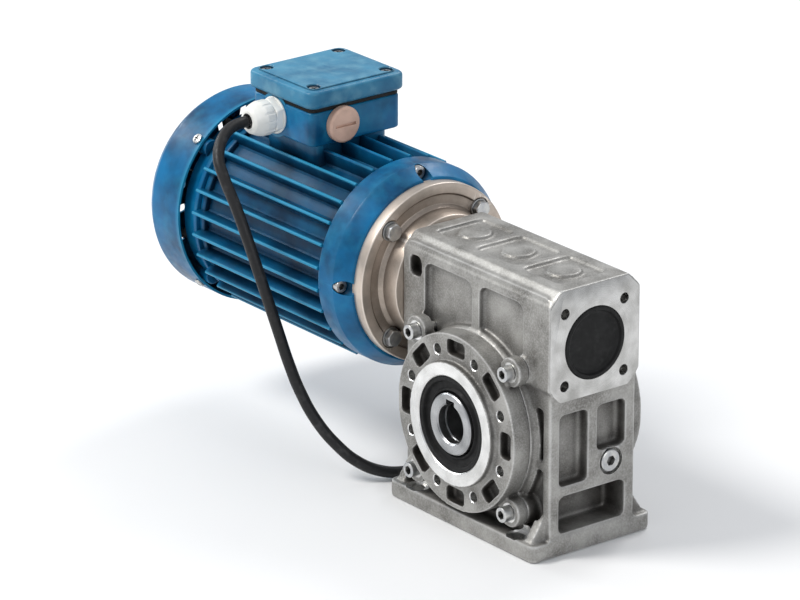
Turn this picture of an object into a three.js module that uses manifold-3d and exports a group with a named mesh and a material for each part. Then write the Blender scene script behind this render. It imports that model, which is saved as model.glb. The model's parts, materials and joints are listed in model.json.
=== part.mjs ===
// A worm gearmotor with a hollow output shaft: a die-cast worm gearbox with a flanged three-phase
// motor on its input, a terminal box on the motor and a supply cable from the terminal box.
// Millimetres. X runs along the worm and the motor, away from the motor; Y along the output
// shaft; Z up. The origin is the middle of the gearbox foot, straight below the output axis.
import * as THREE from "three";
import { mergeVertices } from "three/addons/utils/BufferGeometryUtils.js";
import Module from "manifold-3d";

const wasm = await Module();
wasm.setup();

// Clearances and the number of sides on round pieces
const GAP = 0.3;
const BIG = 24;
const MID = 18;
const SMALL = 12;
const TINY = 6;

// Gear pair: one-start worm, 30-tooth wheel
const MODULE = 3.2;
const WHEEL_TEETH = 30;
const CENTRE_DISTANCE = 63;
const WHEEL_PITCH_R = (MODULE * WHEEL_TEETH) / 2;
const WORM_PITCH_R = CENTRE_DISTANCE - WHEEL_PITCH_R;
const LEAD = Math.PI * MODULE;
const TOOTH_THICKNESS = 4.1;
const ADDENDUM = 3;
const DEDENDUM = 3.9;
const FLANK = Math.tan((20 * Math.PI) / 180);
const THREAD_TURNS = 3.5;
const THREAD_STEPS_PER_TURN = 12;
const RIM_HALF_WIDTH = 15;

// Gearbox housing
const AXIS_Z = 72;
const WORM_Z = AXIS_Z + CENTRE_DISTANCE;
const TOP_Z = 174;
const BODY_HALF_LENGTH = 71;
const END_X = 72;
const BODY_HALF_WIDTH = 34;
const CASE_HALF_WIDTH = 36;
const CASE_BOTTOM_Z = 101;
const BOSS_R = 57.5;
const BOSS_Y = 51.5;
const RING_R = 40;
const RING_Y = 56;
const CHAMBER_R = 56;
const COVER_JOINT_Y = 38.5;
const COVER_SPIGOT_R = 52;
const COVER_SCREW_R = 65.5;
const COVER_LUG_R = 9.5;
const FLANGE_HOLE_R = 47.5;
const FOOT_HALF_WIDTH = 48;
const FOOT_HEIGHT = 11;
const FOOT_HOLE_X = 50;
const FOOT_HOLE_Y = 41;
const END_HOLE_OFFSET = 23.5;
const OIL_PLUG = [0, 15, 53];

// Output shaft, its bearings (40 x 68 x 15) and seals (40 x 62 x 8)
const SHAFT_R = 20;
const SHAFT_BORE_R = 12.5;
const SHAFT_HALF_LENGTH = 55.7;
const KEYWAY_HALF_WIDTH = 4;
const KEYWAY_TOP = 15.8;
const HUB_R = 38;
const OUTPUT_BEARING_R = 34;
const OUTPUT_BEARING_Y = 18.5;
const OUTPUT_BEARING_WIDTH = 15;
const SEAL_R = 31;
const SEAL_Y = 47;
const SEAL_WIDTH = 8;

// Worm shaft and its bearings (outside 47)
const WORM_BEARING_R = 23.5;
const WORM_BEARING_X = 48;
const NEAR_BEARING_WIDTH = 14;
const FAR_BEARING_WIDTH = 12;
const NEAR_JOURNAL_R = 10;
const FAR_JOURNAL_R = 12.5;
const WORM_INPUT_X = -88;
const WORM_BORE_END_X = -62;
const WORM_CAP_X = 65;
const INPUT_SEAL_WIDTH = 7;

// Motor flange and motor
const FLANGE_FACE_X = -95;
const FLANGE_THICKNESS = 10;
const FLANGE_R = 59;
const FLANGE_NECK_R = 43;
const FLANGE_BOLT_R = 50;
const PILOT_R = 35;
const SHIELD_X = -120;
const SHIELD_R = 67;
const FRAME_END_X = -254;
const FRAME_R = 58;
const FRAME_BORE_R = 52.3;
const FIN_R = 68;
const FIN_COUNT = 28;
const CORE_X = [-224, -144];
const CORE_BORE_R = 33;
const ROTOR_R = 32.4;
const MOTOR_SHAFT_R = 7;
const MOTOR_SHAFT_TIP_X = -65;
const MOTOR_JOURNAL_R = 7.5;
const MOTOR_BEARING_R = 17.5;
const MOTOR_BEARING_WIDTH = 11;
const FRONT_BEARING_X = -118;
const REAR_BEARING_X = -269.3;
const REAR_SHIELD_X = -272;
const FAN_X = [-296, -275];
const FAN_R = 55;
const BLADES = 7;
const COWL_X = [-304, -266];
const COWL_R = 70;
const SHEET = 1.5;

// Terminal box
const BOX_X = [-230, -166];
const BOX_HALF_WIDTH = 36;
const BOX_Z = [203.4, 226];
const GASKET_THICKNESS = 2.4;
const LID_OVERHANG = 2.5;
const LID_TOP_Z = 242;
const BOX_WALL = 3;
const LID_SCREW_INSET = 7;
const SCREW_SINK = 4.5;
const ENTRY_R = 10;
const THREAD_R = 9.4;
const GLAND_X = -205;
const ENTRY_Z = 216;
const PLUG_Y = -13;
const GLAND_END_Y = -58;

// Supply cable: drop, run on the ground, coil, tail and connector
const CABLE_R = 3.75;
const COIL_CENTRE = [-130, 102];
const COIL_TURN_R = 42;
const COIL_LIFT = 1.4;
const STRAP = 1.3;
const TAIL_ANGLE = (225 * Math.PI) / 180;
const TAIL_START = 27;
const TAIL_LENGTH = 42;
const CONNECTOR_LENGTH = 46;
const CONNECTOR_R = 9.5;
const CABLE_ROUTE = [
  [-205, -58.4, 216],
  [-205, -61.5, 216],
  [-204, -71, 214.9],
  [-201, -79.5, 211.6],
  [-196.5, -86.5, 206.4],
  [-191, -91, 200],
  [-184.5, -92.5, 192.5],
  [-170.5, -92.5, 174],
  [-160.5, -91.5, 156],
  [-152.5, -89.5, 137],
  [-146.5, -86, 117],
  [-141.5, -82, 97],
  [-136.5, -78, 77],
  [-130.5, -73, 57],
  [-122, -67, 39],
  [-112, -59, 24],
  [-102, -49, 12.5],
  [-94, -37, 6],
  [-88.5, -24, CABLE_R],
  [-85.5, -9, CABLE_R],
  [-84.5, 8, CABLE_R],
  [-84.25, 30, CABLE_R],
  [-84.25, 54, 4.2],
  [-84.25, 75, 4.9],
];

const material = (color, roughness, metalness) =>
  new THREE.MeshStandardMaterial({ color, roughness, metalness });
const CAST = material(0xa9a9a6, 0.55, 0.85);
const FLANGE_METAL = material(0xb9aea0, 0.45, 0.9);
const STEEL = material(0x9c9fa3, 0.35, 1);
const ZINC = material(0xb4b6b8, 0.4, 0.9);
const BRONZE = material(0xb08d4c, 0.4, 1);
const BRASS = material(0xc9a08a, 0.4, 0.9);
const COPPER = material(0xb0683c, 0.45, 0.8);
const BLUE = material(0x10649a, 0.45, 0.1);
const BLACK_RUBBER = material(0x141414, 0.8, 0);
const BLACK_PLASTIC = material(0x1b1c1e, 0.55, 0);
const PALE_PLASTIC = material(0xdcdcd8, 0.5, 0);

// ---- solids -------------------------------------------------------------------------------

// A closed geometry as a solid that can be joined and cut.
function solid(geometry) {
  const bare = geometry.clone();
  bare.deleteAttribute("normal");
  bare.deleteAttribute("uv");
  const merged = mergeVertices(bare, 1e-4);
  const index = merged.index.array;
  const kept = [];
  for (let i = 0; i < index.length; i += 3) {
    const [a, b, c] = [index[i], index[i + 1], index[i + 2]];
    if (a !== b && b !== c && c !== a) kept.push(a, b, c);
  }
  return new wasm.Manifold(
    new wasm.Mesh({
      numProp: 3,
      vertProperties: new Float32Array(merged.attributes.position.array),
      triVerts: new Uint32Array(kept),
    }),
  );
}

const join = (...solids) => solids.reduce((all, one) => all.add(one));
const cut = (body, ...tools) => tools.reduce((all, one) => all.subtract(one), body);
const polar = (count, start = 0) =>
  Array.from({ length: count }, (_, i) => start + (i * 2 * Math.PI) / count);

// The frames that a turned profile or an extruded outline is stood in: [a, b, along].
const STANDING = {
  x: new THREE.Matrix4().makeBasis(v(0, 1, 0), v(0, 0, 1), v(1, 0, 0)),
  y: new THREE.Matrix4().makeBasis(v(0, 0, 1), v(1, 0, 0), v(0, 1, 0)),
  z: new THREE.Matrix4(),
};

function v(x, y, z) {
  return new THREE.Vector3(x, y, z);
}

function block(x, y, z) {
  const geometry = new THREE.BoxGeometry(x[1] - x[0], y[1] - y[0], z[1] - z[0]);
  geometry.translate((x[0] + x[1]) / 2, (y[0] + y[1]) / 2, (z[0] + z[1]) / 2);
  return solid(geometry);
}

// A profile of [radius, place along the axis] turned about an axis through a centre.
function turned(axis, profile, sides = MID, centre = [0, 0, 0]) {
  const points = profile.map(([r, t]) => new THREE.Vector2(r, t));
  const geometry = new THREE.LatheGeometry(points, sides);
  geometry.rotateX(Math.PI / 2);
  geometry.applyMatrix4(STANDING[axis]);
  geometry.translate(...centre);
  return solid(geometry);
}

const rod = (axis, r, from, to, sides, centre) =>
  turned(axis, [[0, from], [r, from], [r, to], [0, to]], sides, centre);

// The radius of a many-sided hole whose flats stand clear of a round piece of radius r.
const clear = (r, sides) => r / Math.cos(Math.PI / sides);

const drill = (axis, r, from, to, sides, centre) =>
  rod(axis, clear(r, sides), from, to, sides, centre);

const ring = (axis, outer, inner, from, to, sides, centre) => {
  const hole = clear(inner, sides);
  const profile = [[hole, from], [outer, from], [outer, to], [hole, to], [hole, from]];
  return turned(axis, profile, sides, centre);
};

// An outline extruded along an axis from one place to another. The outline's own two
// coordinates are y, z for the X axis, z, x for the Y axis and x, y for the Z axis.
function extruded(axis, outline, from, to, steps = 1, shape = (g) => g) {
  const flat = outline.isShape ? outline : new THREE.Shape(outline.map((p) => new THREE.Vector2(...p)));
  const geometry = new THREE.ExtrudeGeometry(flat, {
    depth: to - from,
    steps,
    bevelEnabled: false,
    curveSegments: 6,
  });
  geometry.translate(0, 0, from);
  shape(geometry);
  geometry.applyMatrix4(STANDING[axis]);
  return solid(geometry);
}

const chamfered = (a, b, size) => [
  [a[0] + size, b[0]],
  [a[1] - size, b[0]],
  [a[1], b[0] + size],
  [a[1], b[1] - size],
  [a[1] - size, b[1]],
  [a[0] + size, b[1]],
  [a[0], b[1] - size],
  [a[0], b[0] + size],
];

const group = new THREE.Group();

function add(name, body, finish) {
  const { vertProperties, numProp, triVerts } = body.getMesh();
  const count = vertProperties.length / numProp;
  const position = new Float32Array(count * 3);
  for (let i = 0; i < count; i += 1) {
    for (let k = 0; k < 3; k += 1) position[3 * i + k] = vertProperties[i * numProp + k];
  }
  const geometry = new THREE.BufferGeometry();
  geometry.setAttribute("position", new THREE.BufferAttribute(position, 3));
  geometry.setIndex(new THREE.BufferAttribute(new Uint32Array(triVerts), 1));
  const mesh = new THREE.Mesh(geometry, finish.clone());
  mesh.name = name;
  group.add(mesh);
}

// ---- gearbox ------------------------------------------------------------------------------

const OUTPUT_CENTRE = [0, 0, AXIS_Z];
const WORM_CENTRE = [0, 0, WORM_Z];
const onOutput = (radius, angle) => [radius * Math.cos(angle), AXIS_Z + radius * Math.sin(angle)];
const onWorm = (radius, angle) => [radius * Math.cos(angle), WORM_Z + radius * Math.sin(angle)];

// The pockets and tapped holes in the face round an output ring; side is -1 or 1.
function faceRecesses(side) {
  const span = (depth) => [side * (BOSS_Y + 1), side * (BOSS_Y - depth)].sort((a, b) => a - b);
  const pockets = polar(8).map((angle) => {
    const pocket = block([43.5, 53.5], span(7), [-8.5, 8.5]);
    return pocket.rotate([0, (-angle * 180) / Math.PI, 0]).translate(OUTPUT_CENTRE);
  });
  const holes = polar(8, Math.PI / 8).map((angle) => {
    const [x, z] = onOutput(FLANGE_HOLE_R, angle);
    return drill("y", 3.4, ...span(14), TINY, [x, 0, z]);
  });
  return [...pockets, ...holes];
}

// Hollows between the ribs of one side of the housing, outside the wheel chamber.
function sidePockets(side) {
  const y = [side * (BODY_HALF_WIDTH + 1), side * 17].sort((a, b) => a - b);
  const chamber = rod("y", 61, y[0] - 1, y[1] + 1, BIG, OUTPUT_CENTRE);
  const pockets = [-1, 1].flatMap((end) => {
    const x = [end * 20, end * 64].sort((a, b) => a - b);
    const lower = block(x, y, [FOOT_HEIGHT + 4, 56]);
    const upper = block(x, y, [62, CASE_BOTTOM_Z - 5]);
    return [cut(lower, chamber), cut(upper, chamber)];
  });
  const lugs = polar(4, Math.PI / 4).map((angle) => {
    const [x, z] = onOutput(COVER_SCREW_R, angle);
    return rod("y", COVER_LUG_R, y[0] - 1, y[1] + 1, TINY, [x, 0, z]);
  });
  return pockets.map((pocket) => cut(pocket, ...lugs));
}

function caseRecesses() {
  const half = CASE_HALF_WIDTH;
  const recess = (x, side) => {
    const y = [side * (half - 4), side * (half + 1)].sort((a, b) => a - b);
    return block(x, y, [108, 161]);
  };
  return [-1, 1].flatMap((side) => [recess([-62, -4], side), recess([4, 46], side)]);
}

function endPockets() {
  const outer = END_X + 1;
  return [-1, 1].flatMap((end) => {
    const x = (depth) => [end * outer, end * depth].sort((a, b) => a - b);
    return [
      block(x(52), [-26, 26], [FOOT_HEIGHT + 3, 38]),
      block(x(62.5), [-26, -4], [45, 92]),
      block(x(62.5), [4, 26], [62, 92]),
    ];
  });
}

// The inside of the housing, turned about the output axis: cover opening, wheel chamber,
// rear bearing seat and rear seal seat.
function chamberSpace() {
  const seat = clear(OUTPUT_BEARING_R + 0.1, BIG);
  const sealSeat = clear(SEAL_R + 0.1, BIG);
  const opening = clear(COVER_SPIGOT_R + GAP, BIG);
  const bearingEnd = OUTPUT_BEARING_Y + OUTPUT_BEARING_WIDTH + GAP;
  const profile = [
    [0, -COVER_JOINT_Y - 1],
    [opening, -COVER_JOINT_Y - 1],
    [opening, -33],
    [CHAMBER_R, -33],
    [CHAMBER_R, 30],
    [40.5, 30],
    [40.5, OUTPUT_BEARING_Y],
    [seat, OUTPUT_BEARING_Y],
    [seat, bearingEnd],
    [27, bearingEnd],
    [27, SEAL_Y - GAP],
    [sealSeat, SEAL_Y - GAP],
    [sealSeat, RING_Y + 1],
    [0, RING_Y + 1],
  ];
  return turned("y", profile, BIG, OUTPUT_CENTRE);
}

function gearboxHousing() {
  const plate = extruded(
    "y",
    chamfered([2, TOP_Z - 4], [-BODY_HALF_LENGTH, BODY_HALF_LENGTH], 5),
    -BODY_HALF_WIDTH,
    BODY_HALF_WIDTH,
  );
  const wormCase = extruded(
    "x",
    chamfered([-CASE_HALF_WIDTH, CASE_HALF_WIDTH], [CASE_BOTTOM_Z, TOP_Z], 9),
    -END_X,
    END_X,
  );
  const frontBoss = rod("y", BOSS_R, -COVER_JOINT_Y + GAP, 0, BIG, OUTPUT_CENTRE);
  const rearBoss = rod("y", BOSS_R, 0, BOSS_Y, BIG, OUTPUT_CENTRE);
  const rearRing = rod("y", RING_R, 0, RING_Y, BIG, OUTPUT_CENTRE);
  const lugs = polar(4, Math.PI / 4).map((angle) => {
    const [x, z] = onOutput(COVER_SCREW_R, angle);
    return rod("y", COVER_LUG_R, -COVER_JOINT_Y + GAP, 0, SMALL, [x, 0, z]);
  });
  const foot = extruded(
    "z",
    chamfered([-BODY_HALF_LENGTH - 1, BODY_HALF_LENGTH + 1], [-FOOT_HALF_WIDTH, FOOT_HALF_WIDTH], 5),
    0,
    FOOT_HEIGHT,
  );
  const body = join(plate, wormCase, frontBoss, rearBoss, rearRing, foot, ...lugs);
  const screwHoles = polar(4, Math.PI / 4).map((angle) => {
    const [x, z] = onOutput(COVER_SCREW_R, angle);
    return drill("y", 3.3, -COVER_JOINT_Y - 1, -20, TINY, [x, 0, z]);
  });
  const footHoles = [-1, 1].flatMap((a) =>
    [-1, 1].map((b) => drill("z", 4.2, -1, 20, TINY, [a * FOOT_HOLE_X, b * FOOT_HOLE_Y, 0])),
  );
  const endHoles = [-1, 1].flatMap((a) =>
    [-1, 1].map((b) => {
      const centre = [0, a * END_HOLE_OFFSET, WORM_Z + b * END_HOLE_OFFSET];
      return drill("x", 3.4, END_X - 14, END_X + 1, TINY, centre);
    }),
  );
  const wormBore = drill("x", WORM_BEARING_R + 0.2, -END_X - 1, END_X + 1, MID, WORM_CENTRE);
  const oilHole = drill("x", 5.3, 50, END_X + 1, TINY, OIL_PLUG);
  const oilSpotface = drill("x", 9, 66, END_X + 1, TINY, OIL_PLUG);
  return cut(
    body,
    chamberSpace(),
    wormBore,
    oilHole,
    oilSpotface,
    ...faceRecesses(1),
    ...sidePockets(-1),
    ...sidePockets(1),
    ...caseRecesses(),
    ...endPockets(),
    ...screwHoles,
    ...footHoles,
    ...endHoles,
  );
}

// The bolted cover on the front, with the front bearing seat, seal seat and output ring.
function sideCover() {
  const seat = clear(OUTPUT_BEARING_R + 0.1, BIG);
  const sealSeat = clear(SEAL_R + 0.1, BIG);
  const bearingEnd = OUTPUT_BEARING_Y + OUTPUT_BEARING_WIDTH + GAP;
  const profile = [
    [sealSeat, -RING_Y],
    [RING_R, -RING_Y],
    [RING_R, -BOSS_Y],
    [BOSS_R, -BOSS_Y],
    [BOSS_R, -COVER_JOINT_Y],
    [COVER_SPIGOT_R, -COVER_JOINT_Y],
    [COVER_SPIGOT_R, -37.2],
    [COVER_SPIGOT_R - 2.4, -37.2],
    [COVER_SPIGOT_R - 2.4, -34.6],
    [COVER_SPIGOT_R, -34.6],
    [COVER_SPIGOT_R, -33],
    [40.5, -33],
    [40.5, -OUTPUT_BEARING_Y],
    [seat, -OUTPUT_BEARING_Y],
    [seat, -bearingEnd],
    [27, -bearingEnd],
    [27, -SEAL_Y + GAP],
    [sealSeat, -SEAL_Y + GAP],
    [sealSeat, -RING_Y],
  ];
  const disc = turned("y", profile, BIG, OUTPUT_CENTRE);
  const spots = polar(4, Math.PI / 4).map((angle) => onOutput(COVER_SCREW_R, angle));
  const lugs = spots.map(([x, z]) => {
    const lug = rod("y", COVER_LUG_R, -46, -COVER_JOINT_Y, SMALL, [x, 0, z]);
    return cut(lug, rod("y", BOSS_R - 1, -60, 0, BIG, OUTPUT_CENTRE));
  });
  const holes = spots.map(([x, z]) => drill("y", 3.3, -60, 0, TINY, [x, 0, z]));
  return cut(join(disc, ...lugs), ...faceRecesses(-1), ...holes);
}

// A socket-head screw whose head sits at `seat` and points along -Y.
function coverScrew(x, z) {
  const seat = -46 - GAP;
  const profile = [
    [0, seat - 3],
    [2.6, seat - 3],
    [2.6, seat - 6],
    [5, seat - 6],
    [5, seat],
    [3, seat],
    [3, -24],
    [0, -24],
  ];
  return turned("y", profile, TINY, [x, 0, z]);
}

function hollowOutputShaft() {
  const half = RIM_HALF_WIDTH + 2.5;
  const step = OUTPUT_BEARING_Y - GAP;
  const bore = clear(SHAFT_BORE_R, MID);
  const profile = [
    [bore, -SHAFT_HALF_LENGTH],
    [SHAFT_R - 1, -SHAFT_HALF_LENGTH],
    [SHAFT_R, -SHAFT_HALF_LENGTH + 1],
    [SHAFT_R, -step],
    [23, -step],
    [23, -half],
    [HUB_R, -half],
    [HUB_R, half],
    [23, half],
    [23, step],
    [SHAFT_R, step],
    [SHAFT_R, SHAFT_HALF_LENGTH - 1],
    [SHAFT_R - 1, SHAFT_HALF_LENGTH],
    [bore, SHAFT_HALF_LENGTH],
    [bore, -SHAFT_HALF_LENGTH],
  ];
  const keyway = block(
    [-KEYWAY_HALF_WIDTH, KEYWAY_HALF_WIDTH],
    [-60, 60],
    [AXIS_Z + 8, AXIS_Z + KEYWAY_TOP],
  );
  return cut(turned("y", profile, MID, OUTPUT_CENTRE), keyway);
}

// The bronze rim. One tooth points straight up, and the teeth lean along the worm's lead.
function wormWheelRim() {
  const pitchAngle = (2 * Math.PI) / WHEEL_TEETH;
  const corner = (radius, halfThickness, tooth) => {
    const half = halfThickness / radius;
    const place = (angle) => [radius * Math.cos(angle), radius * Math.sin(angle)];
    return [place(tooth - half), place(tooth + half)];
  };
  const outline = [];
  for (let i = 0; i < WHEEL_TEETH; i += 1) {
    const tooth = i * pitchAngle;
    const half = TOOTH_THICKNESS / 2;
    const [rootA, rootB] = corner(WHEEL_PITCH_R - DEDENDUM, half + DEDENDUM * FLANK, tooth);
    const [tipA, tipB] = corner(WHEEL_PITCH_R + ADDENDUM, half - ADDENDUM * FLANK, tooth);
    outline.push(rootA, tipA, tipB, rootB);
  }
  const twistPerMm = LEAD / (2 * Math.PI * WORM_PITCH_R * WHEEL_PITCH_R);
  const twist = (geometry) => {
    const place = geometry.attributes.position;
    for (let i = 0; i < place.count; i += 1) {
      const [a, b, t] = [place.getX(i), place.getY(i), place.getZ(i)];
      const turn = twistPerMm * t;
      place.setXY(i, a * Math.cos(turn) - b * Math.sin(turn), a * Math.sin(turn) + b * Math.cos(turn));
    }
  };
  const teeth = extruded("y", outline, -RIM_HALF_WIDTH, RIM_HALF_WIDTH, 2, twist);
  return cut(teeth.translate([0, 0, AXIS_Z]), drill("y", HUB_R + GAP, -60, 60, MID, OUTPUT_CENTRE));
}

// The worm's thread: a straight bar of trapezoid section wound into a helix, with a space
// between two turns facing the wheel's top tooth.
function wormThread() {
  const half = TOOTH_THICKNESS / 2;
  const tip = WORM_PITCH_R + ADDENDUM;
  const root = WORM_PITCH_R - 4.5;
  const section = [
    [-half - 4.5 * FLANK, root],
    [half + 4.5 * FLANK, root],
    [half - ADDENDUM * FLANK, tip],
    [-half + ADDENDUM * FLANK, tip],
  ];
  const wind = (geometry) => {
    const place = geometry.attributes.position;
    for (let i = 0; i < place.count; i += 1) {
      const [axial, radius, turns] = [place.getX(i), place.getY(i), place.getZ(i)];
      const angle = 2 * Math.PI * turns;
      const along = axial + LEAD * (turns + 0.25 + 0.5);
      place.setXYZ(i, radius * Math.cos(angle), radius * Math.sin(angle), along);
    }
  };
  const steps = Math.round(THREAD_TURNS * THREAD_STEPS_PER_TURN);
  const first = -THREAD_TURNS / 2 - 0.75;
  const thread = extruded("x", section, first, first + THREAD_TURNS, steps, wind);
  return thread.translate([0, 0, WORM_Z]);
}

function wormShaft() {
  const nearEnd = WORM_BEARING_X + NEAR_BEARING_WIDTH;
  const bore = clear(MOTOR_SHAFT_R + GAP, SMALL);
  const profile = [
    [0, WORM_BORE_END_X],
    [bore, WORM_BORE_END_X],
    [bore, WORM_INPUT_X],
    [FAR_JOURNAL_R - GAP, WORM_INPUT_X],
    [FAR_JOURNAL_R - GAP, -WORM_BEARING_X + GAP],
    [15, -WORM_BEARING_X + GAP],
    [15, -34],
    [11, -31],
    [11, 31],
    [14, 34],
    [14, WORM_BEARING_X - GAP],
    [NEAR_JOURNAL_R - GAP, WORM_BEARING_X - GAP],
    [NEAR_JOURNAL_R - GAP, nearEnd],
    [0, nearEnd],
  ];
  const core = turned("x", profile, SMALL, WORM_CENTRE);
  const keyway = block([WORM_INPUT_X - 1, -67], [-2.8, 2.8], [WORM_Z + 4, WORM_Z + 9.9]);
  return cut(join(core, wormThread()), keyway);
}

// Outer and inner rings of a ball bearing, with the ball space left open between them.
function addBearing(name, axis, outer, inner, from, width, centre, sides = SMALL) {
  const race = (outer - inner) * 0.3;
  add(`${name}_outer_ring`, ring(axis, outer, outer - race, from, from + width, sides, centre), STEEL);
  add(`${name}_inner_ring`, ring(axis, inner + race, inner, from, from + width, sides, centre), STEEL);
}

function addGearbox() {
  add("gearbox_housing", gearboxHousing(), CAST);
  add("side_cover", sideCover(), CAST);
  polar(4, Math.PI / 4).forEach((angle, i) => {
    add(`side_cover_screw_${i + 1}`, coverScrew(...onOutput(COVER_SCREW_R, angle)), ZINC);
  });
  const oRing = ring("y", COVER_SPIGOT_R, COVER_SPIGOT_R - 2, -36.9, -34.9, BIG, OUTPUT_CENTRE);
  add("side_cover_o_ring", oRing, BLACK_RUBBER);
  add("hollow_output_shaft", hollowOutputShaft(), STEEL);
  add("worm_wheel_rim", wormWheelRim(), BRONZE);
  const onShaft = [OUTPUT_BEARING_R, SHAFT_R + GAP];
  const frontY = -OUTPUT_BEARING_Y - OUTPUT_BEARING_WIDTH;
  const [width, centre] = [OUTPUT_BEARING_WIDTH, OUTPUT_CENTRE];
  addBearing("output_front_bearing", "y", ...onShaft, frontY, width, centre);
  addBearing("output_rear_bearing", "y", ...onShaft, OUTPUT_BEARING_Y, width, centre);
  const seal = (from) => ring("y", SEAL_R, SHAFT_R + GAP, from, from + SEAL_WIDTH, MID, centre);
  add("output_front_seal", seal(-SEAL_Y - SEAL_WIDTH), BLACK_RUBBER);
  add("output_rear_seal", seal(SEAL_Y), BLACK_RUBBER);
  add("worm_shaft", wormShaft(), STEEL);
  const nearR = [WORM_BEARING_R, NEAR_JOURNAL_R];
  const farR = [WORM_BEARING_R, FAR_JOURNAL_R];
  const farX = -WORM_BEARING_X - FAR_BEARING_WIDTH;
  addBearing("worm_near_bearing", "x", ...nearR, WORM_BEARING_X, NEAR_BEARING_WIDTH, WORM_CENTRE);
  addBearing("worm_far_bearing", "x", ...farR, farX, FAR_BEARING_WIDTH, WORM_CENTRE);
  const sealX = farX - 1.5 - INPUT_SEAL_WIDTH;
  const inputSeal = ring("x", ...farR, sealX, sealX + INPUT_SEAL_WIDTH, SMALL, WORM_CENTRE);
  add("input_seal", inputSeal, BLACK_RUBBER);
  const capProfile = [[0, WORM_CAP_X], [WORM_BEARING_R, WORM_CAP_X], [WORM_BEARING_R, END_X]];
  capProfile.push([21, END_X + 0.6], [18, END_X - 1.2], [0, END_X - 1.2]);
  add("worm_end_cap", turned("x", capProfile, MID, WORM_CENTRE), BLACK_RUBBER);
  const plugProfile = [[0, 55], [5, 55], [5, 66.3], [8, 66.3], [8, 71], [0, 71]];
  add("oil_plug", turned("x", plugProfile, TINY, OIL_PLUG), ZINC);
}

// ---- motor --------------------------------------------------------------------------------

function inputFlange() {
  const [disc, face] = [FLANGE_FACE_X + FLANGE_THICKNESS, FLANGE_FACE_X];
  const recess = clear(PILOT_R + GAP, BIG);
  const profile = [
    [24, face + 4],
    [recess, face + 4],
    [recess, face],
    [FLANGE_R - 1, face],
    [FLANGE_R, face + 1],
    [FLANGE_R, disc - 1],
    [FLANGE_R - 1, disc],
    [FLANGE_NECK_R, disc],
    [FLANGE_NECK_R - 2, -END_X - GAP],
    [24, -END_X - GAP],
    [24, face + 4],
  ];
  const holes = polar(4, Math.PI / 4).map((angle) => {
    const [y, z] = onWorm(FLANGE_BOLT_R, angle);
    return drill("x", 3.4, face - 1, disc + 1, TINY, [0, y, z]);
  });
  return cut(turned("x", profile, BIG, WORM_CENTRE), ...holes);
}

// A hexagon-head bolt through the flange into the motor's front shield.
function flangeBolt(y, z) {
  const seat = FLANGE_FACE_X + FLANGE_THICKNESS + GAP;
  const [tip, head] = [seat - 22, seat + 4];
  const profile = [[0, tip], [3, tip], [3, seat], [5.7, seat], [5.7, head], [0, head]];
  return turned("x", profile, 6, [0, y, z]);
}

function frontShield() {
  const seat = clear(MOTOR_BEARING_R + 0.1, BIG);
  const profile = [
    [9.5, FRONT_BEARING_X + MOTOR_BEARING_WIDTH + GAP],
    [9.5, FLANGE_FACE_X + 2.2],
    [PILOT_R, FLANGE_FACE_X + 2.2],
    [PILOT_R, FLANGE_FACE_X - GAP],
    [61, FLANGE_FACE_X - GAP],
    [64, -99],
    [SHIELD_R, -106],
    [SHIELD_R, SHIELD_X],
    [54, SHIELD_X],
    [48, -110],
    [24, -106],
    [24, FRONT_BEARING_X - 1],
    [seat, FRONT_BEARING_X - 1],
    [seat, FRONT_BEARING_X + MOTOR_BEARING_WIDTH + GAP],
  ].reverse();
  profile.push(profile[0]);
  const holes = polar(4, Math.PI / 4).map((angle) => {
    const [y, z] = onWorm(FLANGE_BOLT_R, angle);
    return drill("x", 3.3, -108, FLANGE_FACE_X + 1, TINY, [0, y, z]);
  });
  const recesses = polar(4).map((angle) => {
    const [y, z] = onWorm(62.5, angle);
    return drill("x", 4.6, -108, FLANGE_FACE_X + 1, TINY, [0, y, z]);
  });
  return cut(turned("x", profile, BIG, WORM_CENTRE), ...holes, ...recesses);
}

// Round barrel with radial fins and a seat for the terminal box.
function statorFrame() {
  const finWidth = 2.6;
  const outline = [];
  for (const angle of polar(FIN_COUNT, Math.PI / FIN_COUNT)) {
    const corner = (radius, half) => {
      const at = angle + half / radius;
      return [radius * Math.cos(at), radius * Math.sin(at)];
    };
    const slim = finWidth / 2;
    outline.push(corner(FRAME_R, -slim - 0.6), corner(FIN_R, -slim), corner(FIN_R, slim));
    outline.push(corner(FRAME_R, slim + 0.6));
  }
  const barrel = extruded("x", outline, FRAME_END_X, SHIELD_X - GAP).translate([0, 0, WORM_Z]);
  const seatTop = BOX_Z[0] - GAP;
  const seat = block([BOX_X[0] + 5, BOX_X[1] - 5], [-29, 29], [WORM_Z + 50, seatTop]);
  const bore = drill("x", FRAME_BORE_R, FRAME_END_X - 1, SHIELD_X + 1, BIG, WORM_CENTRE);
  const wireHole = block([-207, -189], [-12, 12], [WORM_Z + 40, seatTop + 1]);
  return cut(join(barrel, seat), bore, wireHole);
}

function rotorCore() {
  const [from, to] = CORE_X;
  const bore = clear(9.5, MID);
  const profile = [
    [bore, from - 8],
    [28, from - 8],
    [28, from],
    [ROTOR_R, from],
    [ROTOR_R, to],
    [28, to],
    [28, to + 8],
    [bore, to + 8],
    [bore, from - 8],
  ];
  return turned("x", profile, MID, WORM_CENTRE);
}

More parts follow.
